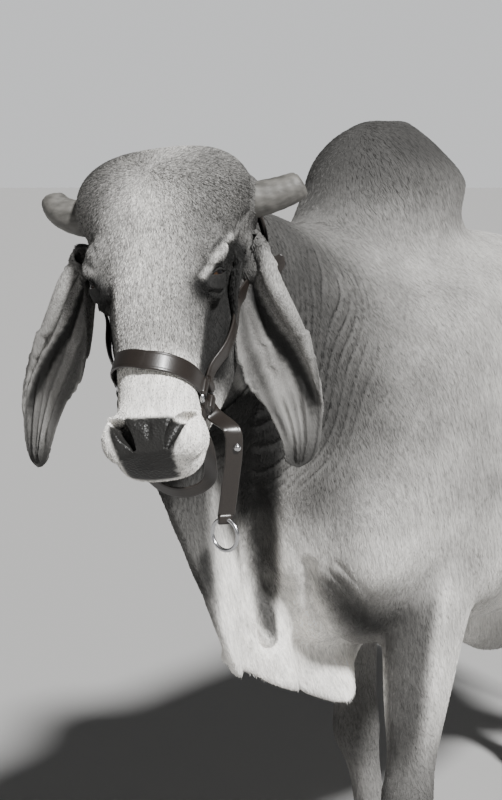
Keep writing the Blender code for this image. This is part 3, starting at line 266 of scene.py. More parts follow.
def blend(name, forms, voxel, smoothing):  # one closed skin over all the forms, softened in their creases
    obj = makeObject(name, *gathered(forms))
    remesh = obj.modifiers.new("remesh", "REMESH")
    remesh.mode, remesh.voxel_size = "VOXEL", voxel
    soften = obj.modifiers.new("soften", "SMOOTH")
    soften.factor, soften.iterations = 0.5, smoothing
    return settle(obj)


def thinOut(obj, triangles):  # fewer triangles, kept where the form bends most, and only the largest closed skin
    fewer = obj.modifiers.new("fewer", "DECIMATE")
    fewer.ratio = min(1.0, triangles / len(facesOf(obj)))
    settle(obj)
    points, faces = pointsOf(obj), facesOf(obj)
    label = np.arange(len(points))
    while True:  # each point takes the lowest label among its neighbours, until none changes
        low = label[faces].min(axis=1)
        after = label.copy()
        for k in range(3):
            np.minimum.at(after, faces[:, k], low)
        after = after[after]
        if (after == label).all():
            break
        label = after
    names, counts = np.unique(label, return_counts=True)
    keep = label == names[counts.argmax()]
    kept = faces[keep[faces[:, 0]]]
    index = np.cumsum(keep) - 1
    old = obj.data.name
    bpy.data.objects.remove(obj)
    return makeObject(old, points[keep], index[kept], sort=False)


def awayFrom(points, line):  # distance from each point to a line of straight runs
    away = np.full(len(points), 1e9)
    for a, b in zip(line[:-1], line[1:]):
        run = b - a
        share = np.clip((points - a) @ run / max(run @ run, 1e-12), 0, 1)
        away = np.minimum(away, np.linalg.norm(points - a - share[:, None] * run, axis=1))
    return away


def close(points, line, radius, power=2):  # exp(-(distance to the line / radius)^power)
    return bell(awayFrom(points, line), radius, power)


def lump(points, centre, radii):  # exp(-(the sum of the squares of each offset / its radius))
    return np.exp(-((((points - centre) / radii) ** 2).sum(axis=1)))


def press(obj, strokes):  # raises or sinks the skin by height * close(points, line, radius) along each line
    points, normals = pointsOf(obj), normalsOf(obj)
    move = np.zeros(len(points))
    for line, radius, height in strokes:
        low, high = line.min(axis=0) - 3 * radius, line.max(axis=0) + 3 * radius
        near = ((points > low) & (points < high)).all(axis=1)
        move[near] += height * close(points[near], line, radius)
    movePoints(obj, points + move[:, None] * normals)


def planeBox(point, normal, offset, reach=0.8):  # a box with one face on the plane through point, moved by offset
    spin = np.array(Vector(normal).normalized().to_track_quat("Z", "Y").to_matrix())
    corners = np.array([(x, y, z) for x in (-1, 1) for y in (-1, 1) for z in (0, 2)], float) * reach
    faces = [(0, 1, 3), (0, 3, 2), (4, 6, 7), (4, 7, 5), (0, 4, 5), (0, 5, 1), (2, 3, 7), (2, 7, 6)]
    faces += [(0, 2, 6), (0, 6, 4), (1, 5, 7), (1, 7, 3)]
    points = corners @ spin.T + np.asarray(point) + np.asarray(Vector(normal).normalized()) * offset
    return makeObject("cutter", points, np.array(faces))


def waves(points, scale, seed):  # soft noise from -1 to 1: a sum of sines along seeded directions
    rng = np.random.default_rng(seed)
    total = np.zeros(len(points))
    for k in range(9):
        way = unit(rng.normal(size=3)) / (scale * (0.6 + 0.8 * rng.random()))
        total += np.sin(points @ way * 2 * math.pi + rng.random() * 7)
    return total / 3.5


# The forms of the body, as in the frame. Each form is a closed surface, and the skin is laid over them all.
forelegs = {1: (0.160, -0.115, -0.165), -1: (0.135, 0.020, 0.190)}  # place across, elbow and foot along the body
hindlegs = {1: (0.165, 0.050), -1: (0.165, -0.060)}  # place across, and step along the body
tailRoot = (0.0, 1.28, 1.365)
coronet = 0.060  # height of the tops of the hooves at the middle of each foot


def torsoForms():  # the trunk carried from chest to rump, with shoulders, haunches and thighs as ellipsoids
    trunk = mm([
        (0, -500, 1080, 50, 60, 60), (0, -460, 1080, 140, 200, 200), (0, -340, 1090, 225, 330, 320),
        (0, -180, 1080, 265, 400, 370), (0, 20, 1070, 285, 435, 385), (0, 250, 1060, 300, 432, 395),
        (0, 520, 1050, 335, 410, 405), (0, 780, 1070, 325, 395, 390), (0, 950, 1120, 285, 370, 370),
        (0, 1100, 1180, 245, 305, 340), (0, 1220, 1220, 190, 230, 290), (0, 1300, 1230, 100, 120, 170),
    ])
    pairs = blobs([
        (172, -90, 1150, 105, 170, 270, -14, 4, 0), (165, -300, 990, 90, 120, 150),
        (195, 10, 930, 85, 160, 170, 20, 0, 0), (178, 950, 1335, 88, 150, 85),
        (165, 1060, 1140, 115, 210, 280), (100, 1250, 1240, 70, 80, 130), (200, 900, 980, 90, 130, 140),
    ])
    return [carry(trunk, (0, 0, 1), rings=40, sides=32, power=2.25)] + bothSides(pairs)


def humpForms():  # rounded sections from the withers to the top, each a share of the hump's half width and length
    sections = [
        (0.34, 0, 1.15, 1.45, 0.90), (0.25, 0, 1.12, 1.38, 0.76), (0.19, 0, 1.08, 1.18, 0.74),
        (0.15, 0, 1.05, 1.04, 0.90), (0.11, 0, 1.01, 0.92, 0.99), (0.07, 0.004, 0.86, 0.74, 0.84),
        (0.032, 0.010, 0.58, 0.49, 0.53), (0.008, 0.014, 0.30, 0.26, 0.28), (0, 0.014, 0.06, 0.05, 0.06),
    ]
    rows = []
    for down, y, wide, ahead, behind in sections:
        rows.append((0, y, 1.70 - down, 0.125 * wide, 0.21 * ahead, 0.21 * behind))
    return [carry(rows, (0, -1, 0), rings=40, sides=40, power=2.1)]


def neckForms():  # one form from the shoulders into the back of the head
    rows = mm([
        (0, -20, 1140, 200, 300, 300), (0, -200, 1180, 215, 330, 320),
        (12, -380, 1250, 185, 285, 290), (35, -540, 1340, 145, 225, 230),
    ])
    ends = np.hstack([fromHead([(0, 0.12, -0.17), (0, 0.05, -0.16)]), mm([(115, 160, 160), (75, 100, 100)])])
    return [carry(np.vstack([rows, ends]), (0, 0, 1), rings=40, sides=44, power=2.15)]


def dewlapForm(above, thickness, columns=110, rows=30):  # a sheet from the neck's underside to the wavy lower edge
    top = mm([
        (98, -800, 1200), (75, -700, 1190), (50, -590, 1150), (30, -500, 1000),
        (20, -430, 850), (10, -300, 760), (5, -180, 715), (0, -80, 700),
    ])
    bottom = mm([
        (100, -800, 1140), (90, -730, 1030), (83, -665, 925), (80, -615, 835), (74, -575, 770), (52, -530, 742),
        (-10, -490, 745), (-12, -455, 725), (48, -405, 688), (52, -362, 672), (-2, -325, 668), (20, -280, 636),
        (50, -225, 612), (44, -170, 612), (6, -125, 645), (0, -70, 690),
    ])
    top, bottom = smoothRows(top, columns), smoothRows(bottom, columns)
    top = top + above * np.array([0, 0.3, 1.0])
    down = np.linspace(0, 1, rows)[None, :, None]
    middle = top[:, None] * (1 - down) + bottom[:, None] * down
    return sheet(middle, np.full(middle.shape[:2], thickness), np.array([1.0, 0.0, 0.0]))


def forelegForm(x, top, foot):  # rows are measured from the leg's middle, which slants from top to foot
    rows = mm([
        (10, 10, 1020, 70, 110, 130), (12, 10, 870, 80, 115, 135), (8, 5, 750, 71, 92, 105),
        (4, 0, 620, 59, 72, 78), (0, 0, 500, 47, 52, 54), (0, -6, 425, 52, 58, 50), (-2, -2, 350, 38, 40, 44),
        (-4, 2, 260, 35, 36, 41), (-4, 2, 185, 38, 38, 46), (-4, -4, 140, 47, 47, 52), (-4, -14, 98, 45, 44, 46),
        (-4, -24, 62, 53, 58, 54), (-4, -26, 34, 50, 56, 50),
    ])
    rows[:, 0] += x
    rows[:, 1] = rows[:, 1] + top + (foot - top) * np.clip((0.95 - rows[:, 2]) / 0.85, 0, 1)
    return carry(rows, (0, -1, 0), rings=60, sides=28, power=2.1)


def hindlegForm(x, step):  # each row takes its own share of the step
    rows = mm([
        (-15, 1050, 1200, 120, 200, 180), (0, 1030, 1040, 125, 210, 205), (10, 1000, 890, 105, 165, 185),
        (10, 1035, 750, 78, 108, 124), (5, 1100, 630, 57, 65, 80), (0, 1160, 530, 46, 52, 65),
        (0, 1170, 460, 45, 54, 48), (0, 1160, 360, 38, 39, 43), (0, 1152, 260, 36, 36, 41),
        (0, 1148, 185, 39, 38, 46), (0, 1142, 140, 47, 46, 52), (0, 1130, 98, 45, 43, 46),
        (0, 1120, 62, 53, 58, 54), (0, 1118, 34, 50, 56, 50),
    ])
    rows[:, 0] += x
    rows[:, 1] += step * np.array([0, 0, 0.1, 0.3, 0.6, 0.9] + [1] * 8)
    return carry(rows, (0, -1, 0), rings=64, sides=28, power=2.1)


def feet():  # the middle of each foot, between its claws
    fore = [(side * (forelegs[side][0] - 0.004), forelegs[side][2] - 0.026) for side in (1, -1)]
    return fore + [(side * hindlegs[side][0], hindlegs[side][1] + 1.118) for side in (1, -1)]


def tailForm():  # a tapering round form down from the root
    rows = mm([
        (0, -140, 10, 40, 30, 30), (0, -30, 15, 38, 32, 40), (0, 55, -50, 34, 30, 34), (0, 85, -170, 28, 26, 26),
        (4, 85, -360, 23, 21, 21), (8, 80, -560, 19, 18, 18), (8, 78, -770, 16, 15, 15),
    ])
    rows[:, :3] += tailRoot
    return carry(rows, (0, 0.3, 1), rings=40, sides=20, power=2.0)


def undersideForms():  # sheath and scrotum, each a rounded form carried along its own line
    sheath = mm([
        (0, 200, 700, 30, 50, 40), (0, 320, 660, 38, 60, 65), (0, 440, 625, 38, 70, 85),
        (0, 540, 600, 40, 80, 70), (0, 630, 630, 34, 60, 50), (0, 780, 680, 28, 50, 30),
    ])
    scrotum = mm([
        (0, 970, 800, 50, 40, 50), (0, 985, 700, 48, 40, 45), (0, 990, 620, 68, 55, 58),
        (0, 990, 555, 66, 55, 55), (0, 985, 515, 30, 25, 25),
    ])
    return [carry(sheath, (0, 0, 1), rings=30, sides=24), carry(scrotum, (0, -1, 0), rings=24, sides=24)]


def headForms():  # skull and jaw from the poll to the muzzle, with brows, cheeks, horn roots and eyes as ellipsoids
    skull = mm([
        (0, 55, 4, 20, 20, 20), (0, 52, -10, 92, 52, 60), (0, 46, -45, 128, 84, 90), (0, 40, -90, 137, 103, 115),
        (0, 36, -140, 119, 110, 122), (0, 32, -200, 97, 108, 120), (0, 28, -265, 79, 100, 110),
        (0, 22, -330, 68, 90, 90), (0, 18, -395, 60, 80, 70), (0, 14, -455, 59, 70, 55), (0, 8, -495, 63, 58, 46),
        (0, 6, -518, 52, 46, 32), (0, 4, -528, 20, 18, 12),
    ])
    jaw = mm([
        (0, 115, -150, 45, 40, 40), (0, 130, -200, 82, 60, 60), (0, 125, -275, 90, 70, 74),
        (0, 103, -345, 80, 60, 64), (0, 82, -410, 58, 50, 50), (0, 72, -455, 47, 45, 38),
        (0, 65, -485, 42, 34, 30), (0, 62, -503, 20, 15, 14),
    ])
    pairs = blobs([
        (70, -4, -235, 30, 40, 44), (76, -28, -195, 28, 30, 45, 0, -18, 0), (60, 85, -265, 34, 75, 100),
        (112, 45, -80, 36, 42, 42), (46, -22, -480, 31, 30, 36), (100, 78, -145, 34, 38, 42),
    ]) + [blob(eyeCentre, (0.0243, 0.0243, 0.0243))]
    forms = [carry(skull, (0, -1, 0), rings=90, sides=72, power=2.6), carry(jaw, (0, -1, 0), rings=60, sides=48)]
    forms += [blob((0, 0.000, -0.474), (0.070, 0.058, 0.050))] + bothSides(pairs)
    return [(fromHead(points), faces) for points, faces in forms]


# Lines in the head's own frame that raise or sink the skin on both sides: points, radius and height, in millimetres.
headLines = [
    ([(66, -48, -205), (88, -40, -222), (96, -18, -230)], 11, 4),
    ([(74, -36, -262), (88, -22, -266), (96, 0, -252)], 8, 3),
    ([(72, -52, -262), (70, -50, -300)], 12, -4),
    ([(60, -70, -270), (52, -70, -380)], 14, 3),
    ([(80, 20, -300), (66, 20, -400)], 20, -6),
    ([(22, -55, -470), (42, -52, -448), (60, -34, -446)], 10, 4),
    ([(62, 0, -440), (66, 15, -480)], 18, 4),
    ([(108, 30, -170), (98, 50, -215)], 12, -4),
    # Upper lid: a thick fold from behind the eye down to its inner corner, creased along it and hollow below it.
    ([(107, 6, -170), (103, -26, -203), (90, -44, -231), (74, -42, -252)], 8.5, 5.2),
    ([(103, -12, -174), (98, -38, -202), (86, -52, -226), (72, -50, -246)], 3.2, -3.4),
    ([(107, -2, -178), (103, -30, -206), (91, -46, -232)], 1.8, -2.2),
    ([(109, 8, -182), (105, -20, -209), (94, -38, -236), (80, -38, -254)], 1.8, -2.2),
    ([(110, 16, -184), (107, -12, -213), (99, -30, -235)], 4.8, -5.5),
    ([(98, -30, -158), (90, -54, -186), (77, -62, -210)], 4, -2.8),
    # Wrinkles below and behind the eye, and between the eye and the ear's root.
    ([(104, 18, -232), (94, -6, -262), (80, -30, -272)], 3.4, -4.2),
    ([(104, 30, -240), (94, 6, -276), (80, -22, -288)], 4, -3),
    ([(118, 12, -118), (122, 30, -140), (116, 40, -166), (108, 40, -190)], 4, -5.2),
    ([(126, 28, -118), (128, 46, -140), (122, 56, -168), (112, 56, -196)], 4, -5.2),
    ([(132, 44, -122), (133, 60, -146), (126, 72, -176)], 4, -5.2),
    ([(112, 0, -122), (116, 14, -142), (112, 22, -164)], 4, -5.2),
    ([(120, 20, -100), (112, -6, -106), (98, -30, -112)], 4.5, -2),
    # The hollow of the temple, the edge of the cheek bone and the vein below it.
    ([(98, -46, -150), (90, -56, -176)], 14, -2.5),
    ([(84, -10, -290), (74, -18, -350)], 7, 2.2),
    # Rims of the nostril, and the crease beside the upper lip.
    ([(60, -34, -446), (64, -18, -462), (60, -6, -478)], 6, 3),
    ([(30, -52, -462), (24, -52, -486), (22, -45, -506)], 6, 2),
    ([(71, 0, -462), (66, 12, -492), (46, 12, -518)], 4, -2.2),
]
middleLines = [([(0, -62, -140), (0, -74, -300), (0, -66, -400)], 35, 4), ([(0, -60, -474), (0, -50, -522)], 3.5, -4)]


def headStrokes():  # the lines above in metres, those of headLines on both sides
    strokes = []
    for line, radius, height in headLines:
        for side in (1, -1):
            strokes.append((fromHead(mm(line) * (side, 1, 1)), radius / 1000, height / 1000))
    return strokes + [(fromHead(mm(line)), radius / 1000, height / 1000) for line, radius, height in middleLines]


def eyeAxes(side):  # the middle of one eyeball, where it looks, the way of its slit, and the way up from that
    looks = gaze * (side, 1, 1)
    along = np.array([0.42, 0.75, 0.50]) * (side, 1, 1)
    along = unit(along - looks * (along @ looks))
    return eyeCentre * (side, 1, 1), looks, along, np.cross(looks, along) * side


lids = {"socket": 0.0188, "slit": (0.0150, 0.0036, 0.0042), "margin": 0.0200, "flesh": 0.0214}
lidMargins = ((0.0047, 0.0021), (-0.0050, 0.0017))  # height and radius, above and below the slit
nostrilRows = [(0.023, -0.046, -0.506), (0.032, -0.048, -0.486), (0.046, -0.044, -0.464), (0.058, -0.028, -0.456)]
nostrilSizes = (0.0035, 0.0095, 0.0095, 0.003)


def cutFace(head):  # sockets, slits with their margins, and nostrils, on both sides
    for side in (1, -1):
        eye, looks, along, up = eyeAxes(side)
        ball, faces = blob(eye, (lids["socket"],) * 3, sides=48)
        boolean(head, makeObject("ball", fromHead(ball), faces), "DIFFERENCE")
        rows = [(*(eye + looks * reach), *lids["slit"]) for reach in (0.006, 0.016, 0.05)]
        opening, faces = carry(rows, up, rings=4, sides=40, power=1.5)
        boolean(head, makeObject("opening", fromHead(opening), faces), "DIFFERENCE")
        rows = [(*(np.array(p) * (side, 1, 1)), w, 0.016, 0.016) for p, w in zip(nostrilRows, nostrilSizes)]
        nostril, faces = carry(rows, np.array([0.35 * side, -1.0, 0.1]), rings=26, sides=24, power=2.0)
        boolean(head, makeObject("nostril", fromHead(nostril), faces), "DIFFERENCE")
        share = np.linspace(-1, 1, 15)
        for height, radius in lidMargins:  # a tapered tube that lies on the eyeball
            bow = (height * (1 - share**2) ** 0.8)[:, None]
            flat = share[:, None] * lids["slit"][0] * along + bow * up
            deep = np.sqrt(np.maximum(lids["margin"] ** 2 - (flat**2).sum(axis=1), 1e-6))
            rim = eye + flat + deep[:, None] * looks
            size = radius * (1 - 0.55 * share**4)
            tube, faces = carry(np.column_stack([rim, size, size, size]), looks, rings=40, sides=12, power=2.0)
            boolean(head, makeObject("lid", fromHead(tube), faces), "UNION")


# Ears: the middle line's x, y, z and the half width, in millimetres, and how far round the leaf is wrapped, in degrees.
earWrap = (250, 230, 190, 140, 115, 95, 85, 75, 70, 65, 60)
earLeft = [
    (188, -692, 1488, 22), (206, -696, 1461, 29), (213, -698, 1419, 43), (221, -684, 1365, 56),
    (228, -666, 1319, 58), (234, -648, 1271, 52), (239, -631, 1224, 41), (241, -623, 1190, 33),
    (240, -620, 1163, 24), (239.5, -619, 1152, 15), (239, -618, 1145, 2),
]
earRight = [
    (7, -813, 1480, 22), (-10, -814, 1449, 26), (-20, -820, 1415, 34), (-36, -822, 1360, 45),
    (-56, -825, 1312, 49), (-78, -829, 1264, 43), (-92, -834, 1216, 33), (-101, -834, 1180, 26),
    (-104, -835.5, 1156, 18), (-105, -836, 1145, 11), (-105, -836, 1138, 2),
]
earRows = {side: np.column_stack([mm(rows), earWrap]) for side, rows in ((1, earLeft), (-1, earRight))}
earFacing = {1: (0.80, -0.60, 0.0), -1: (0.20, -0.98, 0.0)}
earThick, earPlaces = 0.0046, 76
earFolds = [  # place across, width, height, and where down the ear it begins and ends
    (-0.55, 0.11, 0.008, 0.12, 0.75), (-0.18, 0.10, 0.009, 0.15, 0.92),
    (0.10, 0.08, 0.006, 0.30, 0.95), (0.38, 0.09, 0.008, 0.40, 0.92),
]


def earForm(rows, facing, side, thick):
    # Across, the leaf turns by wrap / 2 * v + curl, summed from its middle, so its rear rim (v = 1) rolls forward.
    table = smoothRows(rows, earPlaces)
    middle, half = table[:, :3], np.maximum(table[:, 3], 0.0015)[:, None]
    wrap = np.radians(table[:, 4])[:, None]
    along = unit(np.gradient(middle, axis=0))
    across = unit(np.cross(along, np.array(facing, float)))
    front = np.cross(across, along)
    down = np.linspace(0, 1, earPlaces)[:, None]
    rolled = ramp(down, 0.03, 0.10) * (1 - ramp(down, 0.46, 0.66))
    extra = 0.02 + 0.64 * ramp(down, 0.03, 0.10) * np.clip(1 - (down - 0.10) / 0.52, 0, 1)
    lobe = ramp(down, 0.06, 0.16) * (1 - ramp(down, 0.28, 0.50))
    lobe = lobe - 0.9 * ramp(down, 0.40, 0.56) * (1 - ramp(down, 0.66, 0.84))
    inner = np.linspace(0, 1, 33)[None, :]
    v = np.hstack([(-1 - 0.26 * lobe) * (1 - inner) + inner, 1 + np.linspace(0, 1, 13)[None, 1:] * extra])
    reach = half / np.sin(np.minimum(wrap / 2, math.pi / 2)) * wrap / 2
    turn = wrap / 2 * np.clip(v, -9, 1) + math.radians(205) * rolled * ramp(v, 1 - 0.6 * extra, 1 + extra)
    turn = turn - math.radians(35) * ramp(down, 0.5, 0.7) * ramp(v, 0.5, 1.0)
    step = reach * np.diff(v, axis=1, prepend=v[:, :1])
    flat = np.cumsum(np.cos(turn) * step, axis=1)
    deep = np.cumsum(np.sin(turn) * step, axis=1)
    centre = np.abs(v).argmin(axis=1)[:, None]
    flat, deep = flat - np.take_along_axis(flat, centre, 1), deep - np.take_along_axis(deep, centre, 1)
    for at, wide, height, begin, end in earFolds:
        run = v - at - 0.10 * np.sin(4 * down + at)
        fold = height * bell(run, wide) * ramp(down, begin, begin + 0.15)
        deep = deep + fold * (1 - ramp(down, end - 0.15, end))
    grid = middle[:, None] - side * flat[..., None] * across[:, None] + deep[..., None] * front[:, None]
    outward = side * np.sin(turn)[..., None] * across[:, None] + np.cos(turn)[..., None] * front[:, None]
    edge = thick / 2 * (1 - 0.45 * np.linspace(-1, 1, v.shape[1])[None, :] ** 8) * np.ones((earPlaces, 1))
    return sheet(grid, edge, outward)


def aheadOf(points):  # how far each point is on the head's side of the neck's plane
    return (neckCut - points) @ neckNormal


# Lines where the hair is darkened as painted shade: the fold down the dewlap (also sunk into the skin), the dewlap's
# leading edge, the brisket and the throat under the head.
valley = mm([
    (150, -600, 1230), (125, -575, 1153), (95, -533, 1060), (56, -470, 957), (36, -431, 874),
    (31, -420, 817), (34, -414, 785),
])
valleyWide = mm([(785, 817, 874, 957, 1060, 1153), (12, 19, 26, 31, 37, 41)])  # heights, and its half width there
leading = mm([(93, -669, 985), (84, -651, 914), (75, -638, 860), (68, -620, 800)])
brisket = mm([(150, -385, 885), (140, -330, 835), (125, -270, 785), (100, -200, 735), (50, -120, 710)])
throatShade = mm([(165, -615, 1215), (120, -580, 1140), (85, -562, 1060)])
bodyStrokes = [(valley, 0.022, -0.020)] + [(mm(line), radius / 1000, height / 1000) for line, radius, height in (
    ([(122, -428, 930), (95, -382, 855), (85, -330, 800), (75, -270, 755), (55, -200, 715)], 12, -13),
    ([(75, -420, 900), (58, -395, 830), (46, -345, 760), (36, -330, 700)], 9, -7),
    ([(130, -420, 915), (152, -372, 872), (150, -330, 828), (120, -300, 790)], 6, -4),
    ([(150, -415, 925), (172, -362, 880), (168, -318, 832), (140, -280, 790)], 6, -4),
    ([(170, -405, 935), (192, -350, 885), (188, -300, 835), (160, -262, 790)], 6, -4),
    ([(105, -660, 1120), (98, -640, 1020), (92, -625, 940)], 8, -3),
    ([(90, -585, 1080), (82, -575, 980), (84, -580, 880)], 8, -3),
)]
# The neck's wrinkles: their spacing, how deep they sink, and how dark the painted shade in their grooves is.
wrinkles = {"spacing": 0.0200, "sink": 0.0055, "shade": 0.90}
skinSettings = {"bodyVoxel": 0.0065, "headVoxel": 0.0029, "bodyTriangles": 108000, "headTriangles": 56000}


def neckGrooves(points):  # rings of narrow wrinkles round the neck: 1 in a groove, 0 between, at a wandering spacing
    s = -aheadOf(points) + 0.014 * waves(points, 0.20, 3)
    groove = 1 - np.clip(np.abs(np.sin(math.pi * s / wrinkles["spacing"])) / 0.55, 0, 1) ** 1.2
    z = points[:, 2]
    zone = ramp(s, -0.01, 0.02) * (1 - ramp(s, 0.19, 0.34)) * ramp(z, 1.02, 1.18) * (1 - ramp(z, 1.50, 1.60))
    return groove * zone * np.clip(0.85 + 0.6 * waves(points, 0.09, 4), 0.15, 1)


def soleDown():  # the way down, square to the slope of the coronets
    return np.array(Matrix.Rotation(coronetSlope, 3, "X") @ Vector((0, 0, -1)))


def makeBody():  # trunk, legs, dewlap and tail in one skin, sunk by the coat's depth, its folds and its wrinkles
    trunk = blend("trunk", torsoForms() + humpForms() + neckForms(), 0.017, 34)
    forms = [(pointsOf(trunk), facesOf(trunk)), dewlapForm(0.06, 0.015), tailForm()] + humpForms() + undersideForms()
    bpy.data.objects.remove(trunk)
    forms += [forelegForm(*forelegs[1]), mirrored(forelegForm(*forelegs[-1]))]
    forms += [hindlegForm(*hindlegs[1]), mirrored(hindlegForm(*hindlegs[-1]))]
    for x, y in feet():  # the dewclaws, behind each foot
        spots = [(x + s * 0.026, y + 0.070, 0.098) for s in (1, -1)]
        forms += [blob(spot, (0.014, 0.014, 0.021), (-25, 0, 0)) for spot in spots]
    for x, y in feet():  # the coronet swells over the top of each claw
        spots = [(x + s * 0.0255, y + 0.003, 0.072) for s in (1, -1)]
        forms += [blob(spot, (0.0345, 0.060, 0.025), (13, 0, 0)) for spot in spots]
    body = blend("body", forms, skinSettings["bodyVoxel"], 22)
    said("body blended")
    points, normals = pointsOf(body), normalsOf(body)
    x, y, z = points.T
    inset = coatDepth + 0.007 * ramp(aheadOf(points), -0.004, 0.025) * ramp(z, 1.17, 1.23)
    inset = inset + wrinkles["sink"] * neckGrooves(points)
    # Long soft folds that hang in the dewlap and across the brisket.
    inDewlap = (1 - ramp(z, 1.02, 1.12)) * (1 - ramp(np.abs(x - 0.03), 0.09, 0.13)) * (1 - ramp(y, -0.36, -0.22))
    run = y * 0.9 + z * 0.35 + 0.02 * waves(points, 0.22, 5)
    inset = inset + 0.0016 * (1 - np.abs(np.sin(math.pi * run / 0.024)) ** 0.7) * inDewlap
    movePoints(body, points - inset[:, None] * normals)
    press(body, bodyStrokes)
    body = thinOut(body, skinSettings["bodyTriangles"])
    said("body thinned")
    return body


def makeHead():  # skull, jaw and neck's root in one finer skin, with folds, sockets and nostrils, then the ears
    neck = makeObject("neck", *neckForms()[0])
    boolean(neck, planeBox(neckCut, neckNormal, 0.035), "DIFFERENCE")
    forms = headForms() + [(pointsOf(neck), facesOf(neck))]
    bpy.data.objects.remove(neck)
    head = blend("head", forms, skinSettings["headVoxel"], 12)
    said("head blended")
    press(head, headStrokes())
    points, normals = pointsOf(head), normalsOf(head)
    inset = coatDepth + 0.010 * ramp(-aheadOf(points), -0.002, 0.020)
    movePoints(head, points - inset[:, None] * normals)
    head = thinOut(head, skinSettings["headTriangles"])
    points = pointsOf(head)
    for side in (1, -1):  # flesh stays all round each eyeball, under the folds too
        centre = fromHead(eyeCentre * (side, 1, 1))
        gap = np.linalg.norm(points - centre, axis=1)[:, None]
        points = np.where(gap < lids["flesh"], centre + (points - centre) * (lids["flesh"] / gap), points)
    movePoints(head, points)
    cutFace(head)
    said("head thinned and cut")
    for side in (1, -1):
        ear = makeObject("ear", *earForm(earRows[side], earFacing[side], side, earThick))
        root = blob(np.array(earRows[side][1][:3]), (0.024, 0.024, 0.030), sides=24)
        boolean(ear, makeObject("root", *root), "UNION")
        boolean(head, ear, "UNION")
    return head


def makeSkin():  # body and head joined, cut off inside the hooves, and softened where they meet
    body = makeBody()
    boolean(body, makeHead(), "UNION")
    body.name = "skin"
    for x, y in feet():
        boolean(body, planeBox((x, y, coronet), soleDown(), 0.010, 0.11), "DIFFERENCE")
    points = pointsOf(body)
    junction = (1 - ramp(np.abs(aheadOf(points)), 0.008, 0.022)) * ramp(points[:, 2], 1.18, 1.24)
    group = body.vertex_groups.new(name="junction")
    for level in range(1, 5):  # four bands of strength
        group.add(np.flatnonzero(np.round(junction * 4) == level).tolist(), level / 4, "REPLACE")
    soften = body.modifiers.new("soften", "SMOOTH")
    soften.factor, soften.iterations, soften.vertex_group = 0.5, 8, "junction"
    settle(body)
    body.vertex_groups.clear()
    pieces.append(body)
    said(f"skin joined, {len(facesOf(body))} triangles")
    return body


# Painted shade on the face, over the skin's own dark round the eyes: a shade is a line, how dark it paints the hair,
# its radius, and the power of its falloff.
lidLine = mm([(106, 4, -166), (104, -33, -202), (92, -46, -228), (81, -42, -240), (74, -42, -250)])
faceShades = [(mm(line), shade, radius, power) for line, shade, radius, power in (
    ([(112, 32, -178), (105, 12, -207), (98, -12, -234), (90, -24, -256), (76, -34, -264)], 0.95, 0.025, 4),
    ([(110, 48, -176), (105, 44, -205), (90, 58, -228)], 0.90, 0.022, 4),
    ([(96, 30, -240), (84, 25, -290), (74, 40, -340), (66, 40, -385)], 0.93, 0.042, 5),
    ([(104, -12, -166), (99, -42, -196), (86, -55, -222), (72, -52, -244)], 0.75, 0.0035, 2),
)]


def bodyTone(points, normals):  # a base that darkens forwards, mixed by soft fields of place, and darkened by painted shade where shadow falls
    x, y, z = points.T
    tone = 0.28 + 0.12 * ramp(y, -0.25, 0.15)
    tone = mix(tone, 0.62, (1 - ramp(z, 0.70, 1.02)) * ramp(z, 0.50, 0.66))
    neck = (1 - ramp(y, -0.42, -0.16)) * ramp(z, 1.02, 1.18)
    tone = tone * (1 - 0.70 * neck) * (1 - 0.30 * ramp(-y, 0.36, 0.46) * ramp(z, 1.12, 1.2))
    hump = np.linalg.norm((points - (0, -0.02, 1.66)) / (0.20, 0.34, 0.26), axis=1)
    tone = mix(tone, 0.048, 1 - ramp(hump, 0.45, 1.25))
    rear = -0.25 + 0.17 * (1 - ramp(z, 0.72, 0.84))
    dewlap = (1 - ramp(z, 0.98, 1.20)) * (1 - ramp(np.abs(x - 0.03), 0.10, 0.17)) * ramp(z, 0.55, 0.60)
    tone = mix(tone, 0.88, dewlap * (1 - ramp(y, rear - 0.09, rear + 0.09)))
    tone = mix(tone, 0.70, 0.8 * lump(points, (0.20, -0.30, 0.93), (0.12, 0.14, 0.13)))
    wide = np.interp(z, *valleyWide)
    # Painted shade along the dewlap's fold and leading edge, on the throat and in the brisket's hollow.
    shades = [(valley, 0.93, wide, 6), (leading, 0.70, 0.020, 4)]
    shades += [(throatShade, 0.85, 0.065, 4), (brisket, 0.80, 0.045, 3)]
    for line, shade, radius, power in shades:
        tone = tone * (1 - shade * close(points, line, radius, power))
    # Painted shade on the throat, under the head.
    tone = tone * (1 - 0.88 * (1 - ramp(y, -0.67, -0.60)) * ramp(z, 0.86, 0.96))
    # Painted shade in the grooves of the neck's wrinkles.
    tone = tone * (1 - wrinkles["shade"] * neckGrooves(points))
    # Painted shadow of the head and ear on the neck.
    tone = tone * (1 - 0.80 * lump(points, (0.15, -0.45, 1.05), (0.09, 0.09, 0.10)))
    if normals is not None:  # painted shade on the forelegs' inner faces, where the body shades them
        inside = ramp(-np.sign(x) * normals[:, 0], 0.0, 0.5) * (1 - ramp(y, 0.12, 0.24)) * ramp(y, -0.20, -0.10)
        tone = tone * (1 - 0.72 * inside * (1 - ramp(z, 0.62, 0.72)) * ramp(z, 0.30, 0.42))
    # Painted shadow of the chest and dewlap on the front of the left foreleg.
    tone = tone * (1 - 0.86 * (1 - ramp(y, -0.190, -0.160)) * (1 - ramp(z, 0.80, 0.92)) * ramp(x, 0.11, 0.15))
    tone = mix(tone, 0.19, 1 - ramp(z, 0.30, 0.62))  # legs, then knees, feet, tail and scrotum
    tone = mix(tone, 0.10, bell(z - 0.44, 0.09) * (z < 0.60))
    tone = mix(tone, 0.06, 1 - ramp(z, 0.07, 0.16))
    tone = mix(tone, 0.05, ramp(y, 1.33, 1.36) * (1 - ramp(z, 0.62, 1.15)))
    scrotum = (x / 0.08) ** 2 + ((y - 0.99) / 0.09) ** 2 + ((z - 0.58) / 0.10) ** 2
    return mix(tone, 0.10, np.exp(-(scrotum**2)))


